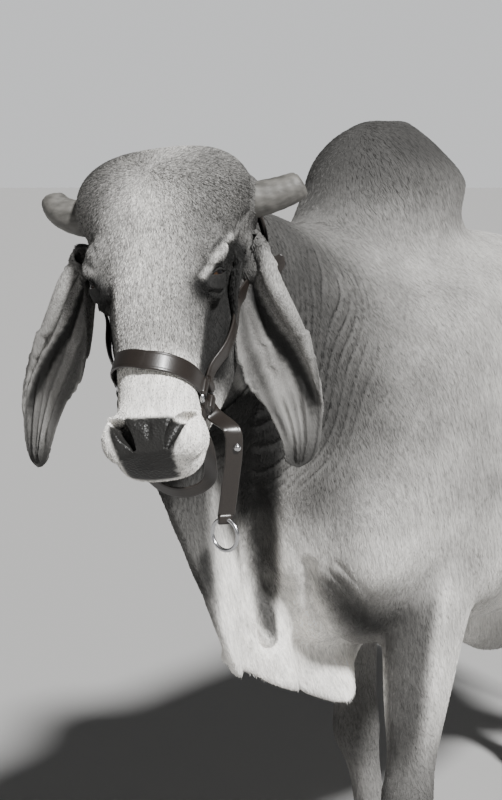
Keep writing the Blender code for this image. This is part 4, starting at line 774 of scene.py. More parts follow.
def faceTone(head, folded, pad):  # a pale brow and muzzle band and a black pad, with painted shade at the sides, round the eyes, down the cheeks and on the chin
    x, back, up = head.T
    tone = 0.32 + 0.12 * bell(x, 0.035) * ramp(up, -0.45, -0.20) * (1 - ramp(up, -0.16, -0.05))
    # Painted shade towards the back and the sides of the face.
    tone = tone * (1 - 0.50 * ramp(back, 0.0, 0.10)) * (1 - 0.50 * ramp(np.abs(x), 0.028, 0.085))
    tone = mix(tone, 0.92, (1 - ramp(up, -0.400, -0.350)) * (1 - ramp(back, 0.06, 0.12) * 0.4))
    # Painted shade in the eye's hollow and behind it, down the cheek and along the lid's crease.
    for line, shade, radius, power in faceShades:
        tone = tone * (1 - shade * close(folded, line, radius, power))
    # Round each eye: the skin's own dark, deepened by painted shade.
    tone = tone * (1 - 0.85 * (1 - ramp(np.linalg.norm(folded - eyePlace, axis=1), 0.020, 0.032)))
    # Painted light on the lit fold of the left upper lid.
    tone = mix(tone, 0.40, close(folded, lidLine, 0.0060, 4) * ramp(x, -0.02, 0.02))
    # Painted shade on the side of the face below each eye.
    inner = np.exp(-(((np.abs(x) - 0.075) / 0.016) ** 2 + ((up + 0.33) / 0.07) ** 2))
    tone = mix(tone * (1 - 0.35 * inner), 0.022, pad)
    # Painted shade on the chin, under the muzzle.
    return mix(tone, 0.25, ramp(back, 0.05, 0.07) * (1 - ramp(up, -0.50, -0.44)) * (1 - pad))


def foldHead(head):  # places on the head with its right side folded over to the left
    return np.column_stack([np.abs(head[:, 0]), head[:, 1:]])


def coatFields(points, normals):
    # Tone of the hair, bare skin, pepper, head and ear, each a smooth function of place.
    head = toHead(points)
    folded = foldHead(head)
    up = head[:, 2]
    headMask = ramp(aheadOf(points), -0.03, 0.03) * ramp(points[:, 2], 1.13, 1.19)
    headMask = headMask * (1 - ramp(folded[:, 0], 0.18, 0.21))
    pad = padMask(head)
    tone = mix(bodyTone(points, normals), faceTone(head, folded, pad), headMask)
    ear, earShare, _ = earFields(points)
    sheen = 0 * ear
    earTone = 0.165 - 0.115 * ramp(earShare, 0.60, 0.84) + 0.07 * bell(earShare - 0.50, 0.2)
    if normals is not None:
        rimShadowAndEdge, rim, inner, foldLight = earMarks(points, normals)
        # The bare inner face is darker; painted light and shade lie along the folds.
        earTone = earTone * (1 - 0.30 * inner) * (1 + 0.8 * foldLight)
        # The pale rim, then the painted shadow of the rolled rim and the dark line by the lower edge.
        earTone = mix(earTone, 0.30, rim) * (1 - 0.90 * rimShadowAndEdge)
        sheen = 0.5 * inner * ear
    tone = mix(tone, earTone, ear)
    tone = tone * (1 + 0.10 * waves(points, 0.14, 8) + 0.06 * waves(points, 0.05, 9))
    eye = np.linalg.norm(folded - eyePlace, axis=1)
    bare = np.maximum(pad, 0.2 * (1 - ramp(eye, 0.0195, 0.0225)))
    pepper = np.clip(headMask * (1 - ramp(-up, 0.36, 0.42)) + 0.15, 0, 1)
    return np.clip(tone, 0.015, 0.93), np.maximum(bare * headMask, sheen), pepper, headMask, ear


def padMask(head):  # the bare nose pad: a trapezoid round the nostrils
    x, back, up = head.T
    lower = ramp(-up, 0.470, 0.520)
    start = 0.4585 + 0.0755 * x
    mask = 1 - ramp(np.abs(x + 0.005 + 0.004 * lower) + 0.015 * lower, 0.050, 0.056)
    return mask * ramp(-up, start, start + 0.006) * (1 - ramp(back, 0.012, 0.022))


def besideEar(points, side):  # which points are near one ear, and their offsets from 40 places down its middle line
    table = smoothRows(earRows[side], 40)
    low, high = table[:, :3].min(axis=0) - 0.07, table[:, :3].max(axis=0) + 0.07
    near = np.flatnonzero(((points > low) & (points < high)).all(axis=1))
    return table, near, points[near, None] - table[None, :, :3]


def earFields(points):  # nearness to either ear, share of the way down it, and the way it hangs
    best = np.full(len(points), 1e9)
    share = np.zeros(len(points))
    way = np.tile(np.array([0.0, 0.1, -1.0]), (len(points), 1))
    for side in (1, -1):
        table, near, offset = besideEar(points, side)
        gap = np.linalg.norm(offset, axis=2) - table[None, :, 3]
        at = gap.argmin(axis=1)
        gap = gap[np.arange(len(near)), at]
        closer = gap < best[near]
        best[near[closer]] = gap[closer]
        share[near[closer]] = at[closer] / 39
        way[near[closer]] = unit(np.gradient(table[:, :3], axis=0))[at[closer]]
    solid = np.linalg.norm((toHead(points) - (0, 0.03, -0.12)) / (0.150, 0.13, 0.20), axis=1)
    return (1 - ramp(best, 0.010, 0.022)) * ramp(solid, 0.92, 1.08), share, way


earFoldLight = [  # painted light along the ear's folds, painted shade where negative: place across, width, strength, and where down the ear it fades in and out
    (-0.95, 0.13, 0.9, None, None), (-0.60, 0.17, -0.55, None, (0.50, 0.70)),
    (-0.20, 0.17, 1.1, (0.24, 0.36), (0.64, 0.78)), (0.16, 0.07, 0.8, (0.40, 0.50), (0.66, 0.80)),
]


def earMarks(points, normals):
    # Painted shadow under each ear's rolled rim, with a dark line by its lower edge; the pale rim; the bare inner face;
    # painted light and shade along the folds.
    rimShadowAndEdge, rim, inner, foldLight = np.zeros((4, len(points)))
    for side in (1, -1):
        table, near, offset = besideEar(points, side)
        along = unit(np.gradient(table[:, :3], axis=0))
        across = unit(np.cross(along, earFacing[side]))
        at = np.linalg.norm(offset, axis=2).argmin(axis=1)
        offset = offset[np.arange(len(near)), at]
        v = -side * (offset * across[at]).sum(axis=1) / np.maximum(table[at, 3], 0.008)
        facing = ramp((normals[near] * np.cross(across, along)[at]).sum(axis=1), -0.1, 0.3)
        down = at / 39
        middle = -0.22 + 2.0 * (down - 0.12)
        held = ramp(down, 0.05, 0.12) * (1 - ramp(down, 0.54, 0.64))
        border = bell(np.abs(v) - 0.88, 0.06) * ramp(down, 0.34, 0.48) * (1 - ramp(down, 0.90, 0.95))
        rimHere = facing * held * ramp(v, middle + 0.18, middle + 0.28)
        light = 0 * v
        # Painted light along the folds, painted shade where the strength is negative.
        for place, wide, strength, begin, end in earFoldLight:
            band = strength * bell(v - place, wide)
            band = band * ramp(down, *begin) if begin else band
            light = light + (band * (1 - ramp(down, *end)) if end else band)
        # Painted shadow under the rolled rim, and a dark line by the lower edge.
        rimShadowAndEdge[near] = facing * np.maximum(held * bell(v - middle, 0.20, 6), 0.75 * border)
        rim[near] = rimHere
        inner[near] = facing * ramp(down, 0.04, 0.10) * (1 - rimHere)
        foldLight[near] = light * facing * (1 - rimHere)
    return rimShadowAndEdge, rim, inner, foldLight


def lieOf(points, normals):  # back and down on the body, away from the whorl on the head, down the ears, in the skin
    head = toHead(points)
    whorl = np.array([-0.002, -0.062, -0.071])
    spread = unit(head - whorl)
    spread[:, 1] += 0.6 * ramp(np.abs(head[:, 0]), 0.05, 0.12)
    face = unit(spread) @ headSpin.T
    z = points[:, 2]
    back = 0.30 + 0.55 * ramp(points[:, 1], 0.0, 0.35) * ramp(z, 0.6, 0.9)
    trunk = unit(np.stack([0 * z, back, -0.90 + 0 * z], 1))
    mask = (ramp(aheadOf(points), -0.03, 0.03) * ramp(z, 1.13, 1.19))[:, None]
    ear, _, way = earFields(points)
    lie = trunk * (1 - mask) + face * mask
    lie = lie * (1 - ear[:, None]) + way * ear[:, None]
    lie = lie - normals * (lie * normals).sum(axis=1)[:, None]
    return unit(lie)


def setFields(obj, **fields):  # one value for each point
    for name, values in fields.items():
        field = obj.data.attributes.new(name, "FLOAT", "POINT")
        field.data.foreach_set("value", np.ascontiguousarray(values, np.float32))


# Materials. These few calls add nodes, with values or links for their inputs.
def addNode(tree, kind, inputs=None, **settings):
    node = tree.nodes.new(kind)
    for key, value in settings.items():
        setattr(node, key, value)
    for key, value in (inputs or {}).items():
        if isinstance(value, bpy.types.NodeSocket):
            tree.links.new(value, node.inputs[key])
        else:
            node.inputs[key].default_value = value
    return node


def calc(tree, operation, *values):  # one sum on two or three values
    return addNode(tree, "ShaderNodeMath", dict(enumerate(values)), operation=operation).outputs[0]


def placeOf(tree):  # the place in the object's own coordinates
    return tree.nodes.new("ShaderNodeTexCoord").outputs["Object"]


def noiseOf(tree, vector, scale, detail):  # noise from 0 to 1 at a place
    inputs = {"Vector": vector, "Scale": scale, "Detail": detail}
    return addNode(tree, "ShaderNodeTexNoise", inputs).outputs["Fac"]


def mapped(tree, vector, turn, stretch):  # a place turned back, then divided by stretch
    inputs = {"Vector": vector, "Rotation": turn, "Scale": stretch}
    return addNode(tree, "ShaderNodeMapping", inputs, vector_type="TEXTURE").outputs[0]


def mixed(tree, factor, a, b, kind="FLOAT"):  # a where factor is 0, b where it is 1
    inputs = {"Factor": factor, "A": a, "B": b}
    return addNode(tree, "ShaderNodeMix", inputs, data_type=kind).outputs["Result"]


def fieldOf(tree, name):  # a field stored on the mesh
    return addNode(tree, "ShaderNodeAttribute", attribute_name=name).outputs["Fac"]


def newGroup(name, inputs, outputs):  # an empty group with its sockets
    tree = bpy.data.node_groups.new(name, "ShaderNodeTree")
    for way, sockets in (("INPUT", inputs), ("OUTPUT", outputs)):
        for label, kind in sockets:
            tree.interface.new_socket(name=label, in_out=way, socket_type="NodeSocket" + kind)
    return tree, tree.nodes.new("NodeGroupInput").outputs, tree.nodes.new("NodeGroupOutput").inputs


def furGroup():
    # Streaks of hair: noise stretched along the lie, on the body's and on the head's own axes, times the tone.
    inputs = [(label, "Float") for label in ("Tone", "Pepper", "Head", "Bare")]
    outputs = [("Color", "Color"), ("Height", "Float"), ("Roughness", "Float")]
    tree, given, out = newGroup("furStreaks", inputs, outputs)
    place = placeOf(tree)
    turns = (((math.radians(20), 0, 0), (1, 1, 9)), (headTurn.to_euler(), (1, 1, 5)))
    ways = [mapped(tree, place, turn, stretch) for turn, stretch in turns]
    streaks = []
    for size, detail in ((700.0, 2.0), (190.0, 3.0)):
        streaks.append(mixed(tree, given["Head"], *(noiseOf(tree, way, size, detail) for way in ways)))
    soft = noiseOf(tree, place, 14.0, 3.0)
    fine = calc(tree, "MULTIPLY_ADD", streaks[0], 1.5, -0.75)
    broad = calc(tree, "MULTIPLY_ADD", streaks[1], 1.0, -0.5)
    spread = calc(tree, "MULTIPLY", fine, calc(tree, "MULTIPLY_ADD", given["Pepper"], 1.1, 0.5))
    spread = calc(tree, "ADD", spread, calc(tree, "MULTIPLY", broad, 0.9))
    spread = calc(tree, "ADD", spread, calc(tree, "MULTIPLY_ADD", soft, 0.5, -0.25))
    covered = calc(tree, "SUBTRACT", 1.0, given["Bare"])
    factor = calc(tree, "MAXIMUM", calc(tree, "MULTIPLY_ADD", spread, covered, 1.0), 0.12)
    tone = calc(tree, "MULTIPLY", given["Tone"], factor)
    warm = {"Red": tone, "Green": calc(tree, "MULTIPLY", tone, 0.975), "Blue": calc(tree, "MULTIPLY", tone, 0.93)}
    pores = addNode(tree, "ShaderNodeTexVoronoi", {"Vector": place, "Scale": 320.0}).outputs["Distance"]
    tree.links.new(addNode(tree, "ShaderNodeCombineColor", warm).outputs[0], out["Color"])
    tree.links.new(mixed(tree, given["Bare"], calc(tree, "ADD", fine, broad), pores), out["Height"])
    tree.links.new(calc(tree, "MULTIPLY_ADD", given["Bare"], -0.42, 0.78), out["Roughness"])
    return tree


def plainMaterial(name, color, roughness, metallic=0.0, **sockets):  # constant numbers on the shader's own sockets
    made = bpy.data.materials.new(name)
    made.use_nodes = True
    shader = made.node_tree.nodes["Principled BSDF"]
    values = {"Base Color": (*color, 1.0), "Roughness": roughness, "Metallic": metallic}
    values.update({key.replace("_", " "): value for key, value in sockets.items()})
    for key, value in values.items():
        shader.inputs[key].default_value = value
    return made, made.node_tree, shader


def bumped(tree, shader, height, distance, strength):  # tilts the normal by the slope of height times distance
    bump = addNode(tree, "ShaderNodeBump", {"Height": height, "Distance": distance, "Strength": strength})
    tree.links.new(bump.outputs[0], shader.inputs["Normal"])


def coatMaterial(name, group, depth):  # the group's colour, roughness and height, from the fields on the mesh
    made, tree, shader = plainMaterial(name, (0.4, 0.4, 0.4), 0.75, Specular_IOR_Level=0.25)
    fur = addNode(tree, "ShaderNodeGroup", node_tree=group)
    for label in ("Tone", "Pepper", "Head", "Bare"):
        tree.links.new(fieldOf(tree, label.lower()), fur.inputs[label])
    tree.links.new(fur.outputs["Color"], shader.inputs["Base Color"])
    tree.links.new(fur.outputs["Roughness"], shader.inputs["Roughness"])
    bumped(tree, shader, fur.outputs["Height"], depth, 0.6)
    return made


def noiseMaterial(name, low, high, roughness, scale, depth, stretch=(1, 1, 1), turn=(0, 0, 0), **more):
    # Colour from low to high by noise, and the same noise as bump.
    made, tree, shader = plainMaterial(name, low, roughness, **more)
    noise = noiseOf(tree, mapped(tree, placeOf(tree), turn, stretch), scale, 5.0)
    color = mixed(tree, noise, (*low, 1), (*high, 1), "RGBA")
    tree.links.new(color, shader.inputs["Base Color"])
    bumped(tree, shader, noise, depth, 0.7)
    return made


fur = furGroup()
coatMat = coatMaterial("coatSkin", fur, 0.0012)
tuftMat = coatMaterial("coatTufts", fur, 0.0004)
hornMat = noiseMaterial(
    "hornSheath", (0.0, 0.0, 0.0), (0.24, 0.23, 0.21), 0.55, 95.0, 0.0016, (2.6, 1, 1), headTurn.to_euler()
)
hoofMat = noiseMaterial("hoofWall", (0.022, 0.020, 0.018), (0.062, 0.058, 0.052), 0.45, 260.0, 0.0007, (4, 4, 0.6))
leatherMat = noiseMaterial(
    "leather", (0.010, 0.008, 0.007), (0.026, 0.020, 0.016), 0.38, 420.0, 0.0002, Coat_Weight=0.35, Coat_Roughness=0.25
)
steelMat = noiseMaterial("steel", (0.52, 0.52, 0.53), (0.66, 0.66, 0.67), 0.26, 200.0, 0.00008, metallic=1.0)
said("materials made")

skin = makeSkin()
skin.data.materials.clear()
skin.data.materials.append(coatMat)
skin.data.polygons.foreach_set("use_smooth", np.ones(len(skin.data.polygons), bool))
fields = coatFields(pointsOf(skin), normalsOf(skin))
setFields(skin, **dict(zip(("tone", "bare", "pepper", "head"), fields)))
fleshNodes = ["head", "neck", "torso", "hump", "dewlap", "foreleg_left", "foreleg_right", "hindleg_left"]
fleshNodes += ["hindleg_right", "sheath", "scrotum", "ear_left", "ear_right", "tail"]
said("skin marked")

# An unwrap of the skin's own shape, for the places of the tufts' patches.
bpy.context.view_layer.objects.active = skin
skin.select_set(True)
skin.data.uv_layers.new(name="OFBake")
bpy.ops.object.mode_set(mode="EDIT")
bpy.ops.mesh.select_all(action="SELECT")
bpy.ops.uv.smart_project(angle_limit=math.radians(66), island_margin=0.001)
bpy.ops.object.mode_set(mode="OBJECT")
skin.select_set(False)
skinPoints, skinNormals, skinFaces = pointsOf(skin), normalsOf(skin), facesOf(skin)
skinUv = np.empty(len(skin.data.loops) * 2, np.float32)
skin.data.uv_layers["OFBake"].data.foreach_get("uv", skinUv)
cornerUv = skinUv.reshape(-1, 2)[trianglesOf(skin, "loops")]
corners = skinPoints[skinFaces]
middles = corners.mean(axis=1)
faceCross = np.cross(corners[:, 1] - corners[:, 0], corners[:, 2] - corners[:, 0])
areas = 0.5 * np.linalg.norm(faceCross, axis=1)
said("skin unwrapped")


def blades(root, up, lie, length, width, rise, sink, rings):
    # Closed tapered blades: triangular sections that narrow as (1 - t)^0.7 along a line rising by rise * sin(pi t / 2).
    side = np.cross(up, lie)
    rows = []
    for k in range(rings):
        t = k / rings
        below = sink if k == 0 else 0 * sink
        height = rise * math.sin(math.pi * t / 2) - below
        centre = root + lie * (length * t)[:, None] + up * height[:, None]
        half = (0.5 * width * (1 - t) ** 0.7)[:, None]
        rows += [centre - side * half, centre + side * half, centre + up * (0.30 * half + below[:, None])]
    points = np.stack(rows + [root + lie * length[:, None] + up * rise[:, None]], 1)
    pairs = ((0, 1), (1, 2), (2, 0))
    faces = [(0, 2, 1)]
    for k in range(0, 3 * (rings - 1), 3):
        for a, b in pairs:
            faces += [(k + a, k + b, k + 3 + b), (k + a, k + 3 + b, k + 3 + a)]
    last = 3 * rings - 3
    faces = np.array(faces + [(last + a, last + b, last + 3) for a, b in pairs])
    tri = points[0][faces]
    if np.einsum("ij,ij->i", tri[:, 0], np.cross(tri[:, 1], tri[:, 2])).sum() < 0:
        faces = faces[:, ::-1]
    size = points.shape[1]
    every = faces[None] + (np.arange(len(root)) * size)[:, None, None]
    spots = [(-1, -1), (1, -1), (0, 0)] * rings + [(0, 1)]
    return points.reshape(-1, 3), every.reshape(-1, 3), np.array(spots, float) * 0.0015, size


# Each piece's tufts: how many, how long, wide and high they are, the seed, and how much their tones differ.
coatSettings = {
    "coatFace": (49000, 0.0050, 0.0012, 0.0009, 11, 0.60),
    "coatHeadSides": (34000, 0.0052, 0.0013, 0.0008, 12, 0.42),
    "coatEars": (20000, 0.0034, 0.0010, 0.0004, 13, 0.16),
    "coatNeck": (44000, 0.0085, 0.0014, 0.0007, 14, 0.20),
    "coatShoulders": (40000, 0.0110, 0.0017, 0.0009, 19, 0.14),
    "coatDewlap": (30000, 0.0080, 0.0014, 0.0007, 15, 0.07),
    "coatBarrel": (48000, 0.0140, 0.0022, 0.0010, 16, 0.12),
    "coatLegs": (36000, 0.0090, 0.0015, 0.0009, 17, 0.14),
    "coatTail": (5000, 0.0160, 0.0020, 0.0018, 18, 0.15),
}
hairTurn, hairSink = 0.22, 0.0008  # how far tufts stray from the lie, and how deep their roots go


def coatPiece(name, region):
    # One-section blades, rooted evenly by area times region, laid along the lie and turned from it at random.
    count, long, wide, high, seed, speckle = coatSettings[name]
    rng = np.random.default_rng(seed)
    total = np.cumsum(areas * region)
    pick = np.searchsorted(total, (np.arange(count) + rng.random(count)) / count * total[-1])
    pick = np.minimum(pick, len(areas) - 1)
    a, b = rng.random((2, count))
    flip = a + b > 1
    a, b = np.where(flip, 1 - a, a), np.where(flip, 1 - b, b)
    share = np.stack([1 - a - b, a, b], 1)[..., None]
    root = (skinPoints[skinFaces[pick]] * share).sum(axis=1)
    up = unit((skinNormals[skinFaces[pick]] * share).sum(axis=1))
    place = (cornerUv[pick] * share).sum(axis=1)
    lie = lieOf(root, up)
    lie = unit(lie + np.cross(up, lie) * (hairTurn * rng.normal(size=count))[:, None])
    tone, bare, _, head, _ = coatFields(root, up)
    size = 0.75 + 0.5 * rng.random(count)
    near = toHead(root)  # smaller on the muzzle, the feet and by the lids
    size = size * (1 - 0.45 * head * ramp(-near[:, 2], 0.36, 0.43)) * (1 - 0.45 * (1 - ramp(root[:, 2], 0.08, 0.30)))
    size = size * (1 - 0.5 * head * close(near, lidLine, 0.04))
    length, width = long * size, wide * (0.8 + 0.4 * rng.random(count))
    rise = high * (0.5 + rng.random(count))
    points, faces, spots, each = blades(root, up, lie, length, width, rise, np.full(count, hairSink), 1)
    obj = makeObject(name, points, faces, tuftMat, sort=False)
    own = 1 + speckle * rng.normal(size=count)
    tone = np.clip(tone * np.clip(own, 0.25, 1.9), 0.012, 0.9)
    tone, head = np.repeat(tone, each), np.repeat(head, each)
    setFields(obj, tone=tone, bare=0 * tone, pepper=0 * tone, head=head)
    layer = obj.data.uv_layers.new(name="OFBake")
    spread = np.repeat(place, each, axis=0) + np.tile(spots, (count, 1))
    layer.data.foreach_set("uv", np.ascontiguousarray(spread[faces.ravel()], np.float32).ravel())
    obj.data.polygons.foreach_set("use_smooth", np.zeros(len(faces), bool))
    pieces.append(obj)
    said(f"{name}, {len(faces)} triangles")


# Where each piece of the coat grows. The nose pad, the eyes and the inner faces of the ears stay bare.
_, bare, _, headPart, earPart = coatFields(middles, None)
x, y, z = middles.T
headHere = toHead(middles)
eyeGap = np.linalg.norm(foldHead(headHere) - (eyePlace + 0.004 * gaze), axis=1)
haired = (1 - np.clip(bare * 1.5, 0, 1)) * (eyeGap > 0.0235)
isEar = earPart > 0.5
isHead = (headPart > 0.5) & ~isEar
isDewlap = (z < 1.17) & (z > 0.55) & (y < -0.22) & (np.abs(x - 0.03) < 0.11) & ~isEar & ~isHead
isLeg = (z < 0.68) & ~isDewlap & ~isEar & (y < 1.30) & (np.abs(x) > 0.07)
isTail = (y > 1.325) & (z < 1.36)
isNeck = (y < 0.20) & ~isHead & ~isEar & ~isDewlap & ~isLeg
isThroat = (y < -0.22) & (z > 0.90)
isFront = isHead & (headHere[:, 1] < 0.02)
regions = {
    "coatFace": isFront * haired,
    "coatHeadSides": (isHead & ~isFront) * haired,
    "coatEars": isEar * haired * (1 - 0.93 * earMarks(middles, unit(faceCross))[2]),
    "coatNeck": isNeck & isThroat,
    "coatShoulders": isNeck & ~isThroat,
    "coatDewlap": isDewlap,
    "coatBarrel": ~(isNeck | isHead | isEar | isDewlap | isLeg | isTail),
    "coatLegs": isLeg & (z > 0.066),
    "coatTail": isTail,
}
for name, region in regions.items():
    coatPiece(name, region * 1.0)
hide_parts(*fleshNodes)

# Eyes: a ball with the cornea standing out in front, and a level oval pupil.
eyeSettings = {"radius": 0.0185, "iris": (0.0098, 0.0116), "pupil": (0.0068, 0.0034), "cornea": 0.07}
# The white of the eye is near black: partly its own dark, partly painted shade under the heavy lids.
eyeColors = {
    "white": ((0.010, 0.008, 0.007, 1), (0.034, 0.028, 0.024, 1)),
    "iris": ((0.022, 0.011, 0.006, 1), (0.070, 0.036, 0.018, 1)),
    "pupil": (0.003, 0.003, 0.004, 1),
}
lashes = {"count": 34, "length": 0.010, "width": 0.0007, "seed": 7}


def makeEye(side, name):  # radius times 1 + cornea * exp(-(angle from the front / 0.55)^4)
    centre, looks, along, over = eyeAxes(side)
    over = over * side
    radius = eyeSettings["radius"]
    polar = np.linspace(0, math.pi, 50)[1:-1, None]
    about = circle(64)[None, :]
    swell = 1 + eyeSettings["cornea"] * bell(polar, 0.55, 4)
    ring = radius * swell[..., None] * ballRings(polar, about)
    points, faces = closedTube(ring, (0, 0, radius * (1 + eyeSettings["cornea"])), (0, 0, -radius))
    world = centre + points[:, :1] * along + points[:, 1:2] * over + points[:, 2:] * looks
    obj = makeObject(name + "_ball", fromHead(world), faces, eyeMat)
    offset = (pointsOf(obj) - poll) @ headSpin - centre
    x, y, ahead = offset @ along, offset @ over, offset @ looks
    oval = (np.abs(x) / eyeSettings["pupil"][0]) ** 2.4 + (np.abs(y) / eyeSettings["pupil"][1]) ** 2.4
    iris, pupil = 1 - ramp(np.hypot(x, y), *eyeSettings["iris"]), 1 - ramp(oval, 0.7, 1.3)
    setFields(obj, iris=np.where(ahead > 0, iris, 0), pupil=np.where(ahead > 0, pupil, 0))
    pieces.append(obj)
    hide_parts(name)


def lashRow(side):  # blades along the upper lid's margin, standing forward and fanned out
    centre, looks, along, over = eyeAxes(side)
    count = lashes["count"]
    share = np.linspace(-0.85, 0.85, count)
    flat = share[:, None] * lids["slit"][0] * along + (0.0056 * (1 - share**2) ** 0.8)[:, None] * over
    deep = np.sqrt(0.0208**2 - (flat**2).sum(axis=1))
    root = centre + flat + deep[:, None] * looks
    lie = unit(0.8 * looks + (0.1 + 0.2 * rng.random(count))[:, None] * over + 0.35 * share[:, None] * along)
    rise = unit(over - lie * (lie @ over)[:, None])
    long = lashes["length"] * (1 + 0.4 * rng.random(count))
    sizes = (long, np.full(count, lashes["width"]), 0.3 * long, np.full(count, 0.0006), 3)
    return blades(fromHead(root), rise @ headSpin.T, lie @ headSpin.T, *sizes)[:2]


eyeMat, eyeTree, eyeShader = plainMaterial("eyeball", (0.1, 0.08, 0.06), 0.06, Coat_Weight=0.8, Coat_Roughness=0.02)
veins = noiseOf(eyeTree, placeOf(eyeTree), 420.0, 4.0)
white, brown = (mixed(eyeTree, veins, *eyeColors[part], "RGBA") for part in ("white", "iris"))
eyeColor = mixed(eyeTree, fieldOf(eyeTree, "iris"), white, brown, "RGBA")
eyeColor = mixed(eyeTree, fieldOf(eyeTree, "pupil"), eyeColor, eyeColors["pupil"], "RGBA")
eyeTree.links.new(eyeColor, eyeShader.inputs["Base Color"])
makeEye(1, "eye_left")
makeEye(-1, "eye_right")
rng = np.random.default_rng(lashes["seed"])
lashMat = plainMaterial("lash", (0.008, 0.007, 0.006), 0.5)[0]
pieces.append(makeObject("lashes", *gathered([lashRow(side) for side in (1, -1)]), lashMat))

# Horns: short round sheaths with growth rings, deepest at the root. Rows are x, y, z and radius, in millimetres.
hornRows = {
    1: [
        (92, 44, -86, 30), (100, 45, -85, 29), (135, 50, -82, 27), (170, 52, -75, 24.5), (196, 52, -67, 21.5),
        (203, 52, -64, 16), (205, 52, -63, 6),
    ],
    -1: [
        (92, 44, -86, 30), (100, 45, -85, 29), (135, 48, -80, 27), (165, 46, -66, 24), (180, 42.5, -48, 20),
        (184, 41, -40, 13), (185, 40, -36, 5),
    ],
}
hornSettings = {"ridge": 0.012, "spacing": 0.9}
hornRings = 90
for side, name in ((1, "horn_left"), (-1, "horn_right")):
    rows = mm(hornRows[side])
    size = rows[:, 3]
    table = smoothRows(np.column_stack([fromHead(rows[:, :3] * (side, 1, 1)), size, size, size]), hornRings)
    ridges = np.sin(np.arange(hornRings) * hornSettings["spacing"]) * np.linspace(1, 0.2, hornRings)
    rough = 1 + hornSettings["ridge"] * ridges
    table[:, 3:] *= rough[:, None]
    horn = makeObject(name + "_sheath", *carry(table, (0, 0.2, 1), hornRings, 40, 2.0), hornMat)
    pieces.append(horn)
    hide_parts(name)


def clawForm(x, y, side):  # one claw from under the floor to inside the coronet, leaning in to its pair
    rows = mm([
        (-3, -5, -20, 25, 75, 52), (-2, -2, 25, 25, 64, 53), (-2, 0, 55, 22.5, 52, 47), (-4, 2, 90, 18, 38, 38),
    ])
    rows[:, 0] = x + side * 0.0295 + side * rows[:, 0]
    rows[:, 1] += y
    return carry(rows, (0, -1, 0), rings=30, sides=40, power=2.6)


for name, (x, y) in zip(("fore_left", "fore_right", "hind_left", "hind_right"), feet()):
    for label, side in (("outer", 1), ("inner", -1)):
        node = f"claw_{name}_{label}"
        claw = makeObject("hoof_" + node[5:], *clawForm(x, y, side if x > 0 else -side), hoofMat)
        boolean(claw, planeBox((x, y, coronet), -soleDown(), 0.0005), "DIFFERENCE")
        boolean(claw, planeBox((x, y, 0), (0, 0, -1), 0), "DIFFERENCE")
        claw.data.materials.clear()
        claw.data.materials.append(hoofMat)
        pieces.append(claw)
        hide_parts(node)
said("eyes, horns and hooves made")

# Tail switch: long locks round a core.
switch = {"locks": 420, "length": 0.34, "seed": 5, "top": (0.008, 0.078, -0.735), "sections": 6}
rng = np.random.default_rng(switch["seed"])
count = switch["locks"]
top = np.add(tailRoot, switch["top"])
around = rng.random(count) * 2 * math.pi
startDown = rng.random(count) ** 1.3 * 0.20
out = np.stack([np.cos(around), np.sin(around), 0 * around], 1)
root = top + out * 0.011 - np.stack([0 * around, 0 * around, startDown], 1)
sway = [0.05 * rng.normal(size=count), 0.05 * rng.normal(size=count), -np.ones(count)]
lie = unit(np.stack(sway, 1) + 0.05 * out)
lie = unit(lie - out * (lie * out).sum(axis=1)[:, None])
length = np.minimum(0.10 + 0.14 * rng.random(count), switch["length"] + 0.02 - startDown)
width, rise = 0.010 + 0.006 * rng.random(count), 0.012 * rng.random(count)
hairs = blades(root, unit(out), lie, length, width, rise, np.full(count, 0.004), switch["sections"])
core = [(*(top + (0, 0, up)), r, r, r) for up, r in ((0.02, 0.013), (-0.10, 0.018), (-0.22, 0.014), (-0.30, 0.004))]
core = carry(core, (0, 1, 0), rings=16, sides=16)
locks = makeObject("switchLocks", *gathered([hairs[:2], core]), tuftMat, sort=False)
tone = np.concatenate([np.repeat(0.02 + 0.03 * rng.random(count), hairs[3]), np.full(len(core[0]), 0.02)])
setFields(locks, tone=tone, bare=0 * tone, pepper=0 * tone, head=0 * tone)
pieces.append(locks)
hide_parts("tail_switch")

# Halter: straps laid on the frame's head, in leather, and steel rings. Widths are in metres.
halter = {
    "thick": 0.0045, "noseband": 0.028, "crown": 0.028, "cheek": 0.024, "chin": 0.020, "hanging": 0.025,
    "squareRing": (0.019, 0.0033), "leadRing": (0.023, 0.0029), "ringPlace": {"left": -0.400, "right": -0.372},
}
low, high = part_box("eye_left")
shift = (low + high) / 2 - Vector(fromHead(eyePlace)[0])
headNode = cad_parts["head"]
place = np.array(headNode.matrix_world)
nodePoints = pointsOf(headNode) @ place[:3, :3].T + place[:3, 3] - np.array(shift)
headTree = BVHTree.FromPolygons(nodePoints.tolist(), facesOf(headNode).tolist())


def onSkin(inside, outward):  # where lines from inside, run outwards, leave the frame's head, point by point
    found = []
    for start, way in zip(np.atleast_2d(inside), unit(np.atleast_2d(outward))):
        hit = headTree.ray_cast(Vector(start + 0.5 * way), Vector(-way), 1.0)[0]
        found.append(hit if hit else start)
    return np.array(found)


def strapSheet(middle, wide, out, width, bow=0):
    # A strap with rounded edges: half thickness t (1 - u^10)^0.5 across, less a narrow crease beside each edge.
    u = np.sin(np.linspace(-1, 1, 25) * math.pi / 2)[None, :]
    grid = middle[:, None] + u[..., None] * (0.5 * width * wide)[:, None]
    grid = grid + (bow * u**2)[..., None] * out[:, None]
    crease = 0.00045 * bell(np.abs(u) - 0.80, 0.035)
    half = halter["thick"] / 2 * np.sqrt(1 - np.abs(u) ** 10 * 0.96) - crease
    return sheet(grid, half * np.ones((len(middle), 1)), out[:, None] * np.ones((1, 25, 1)))


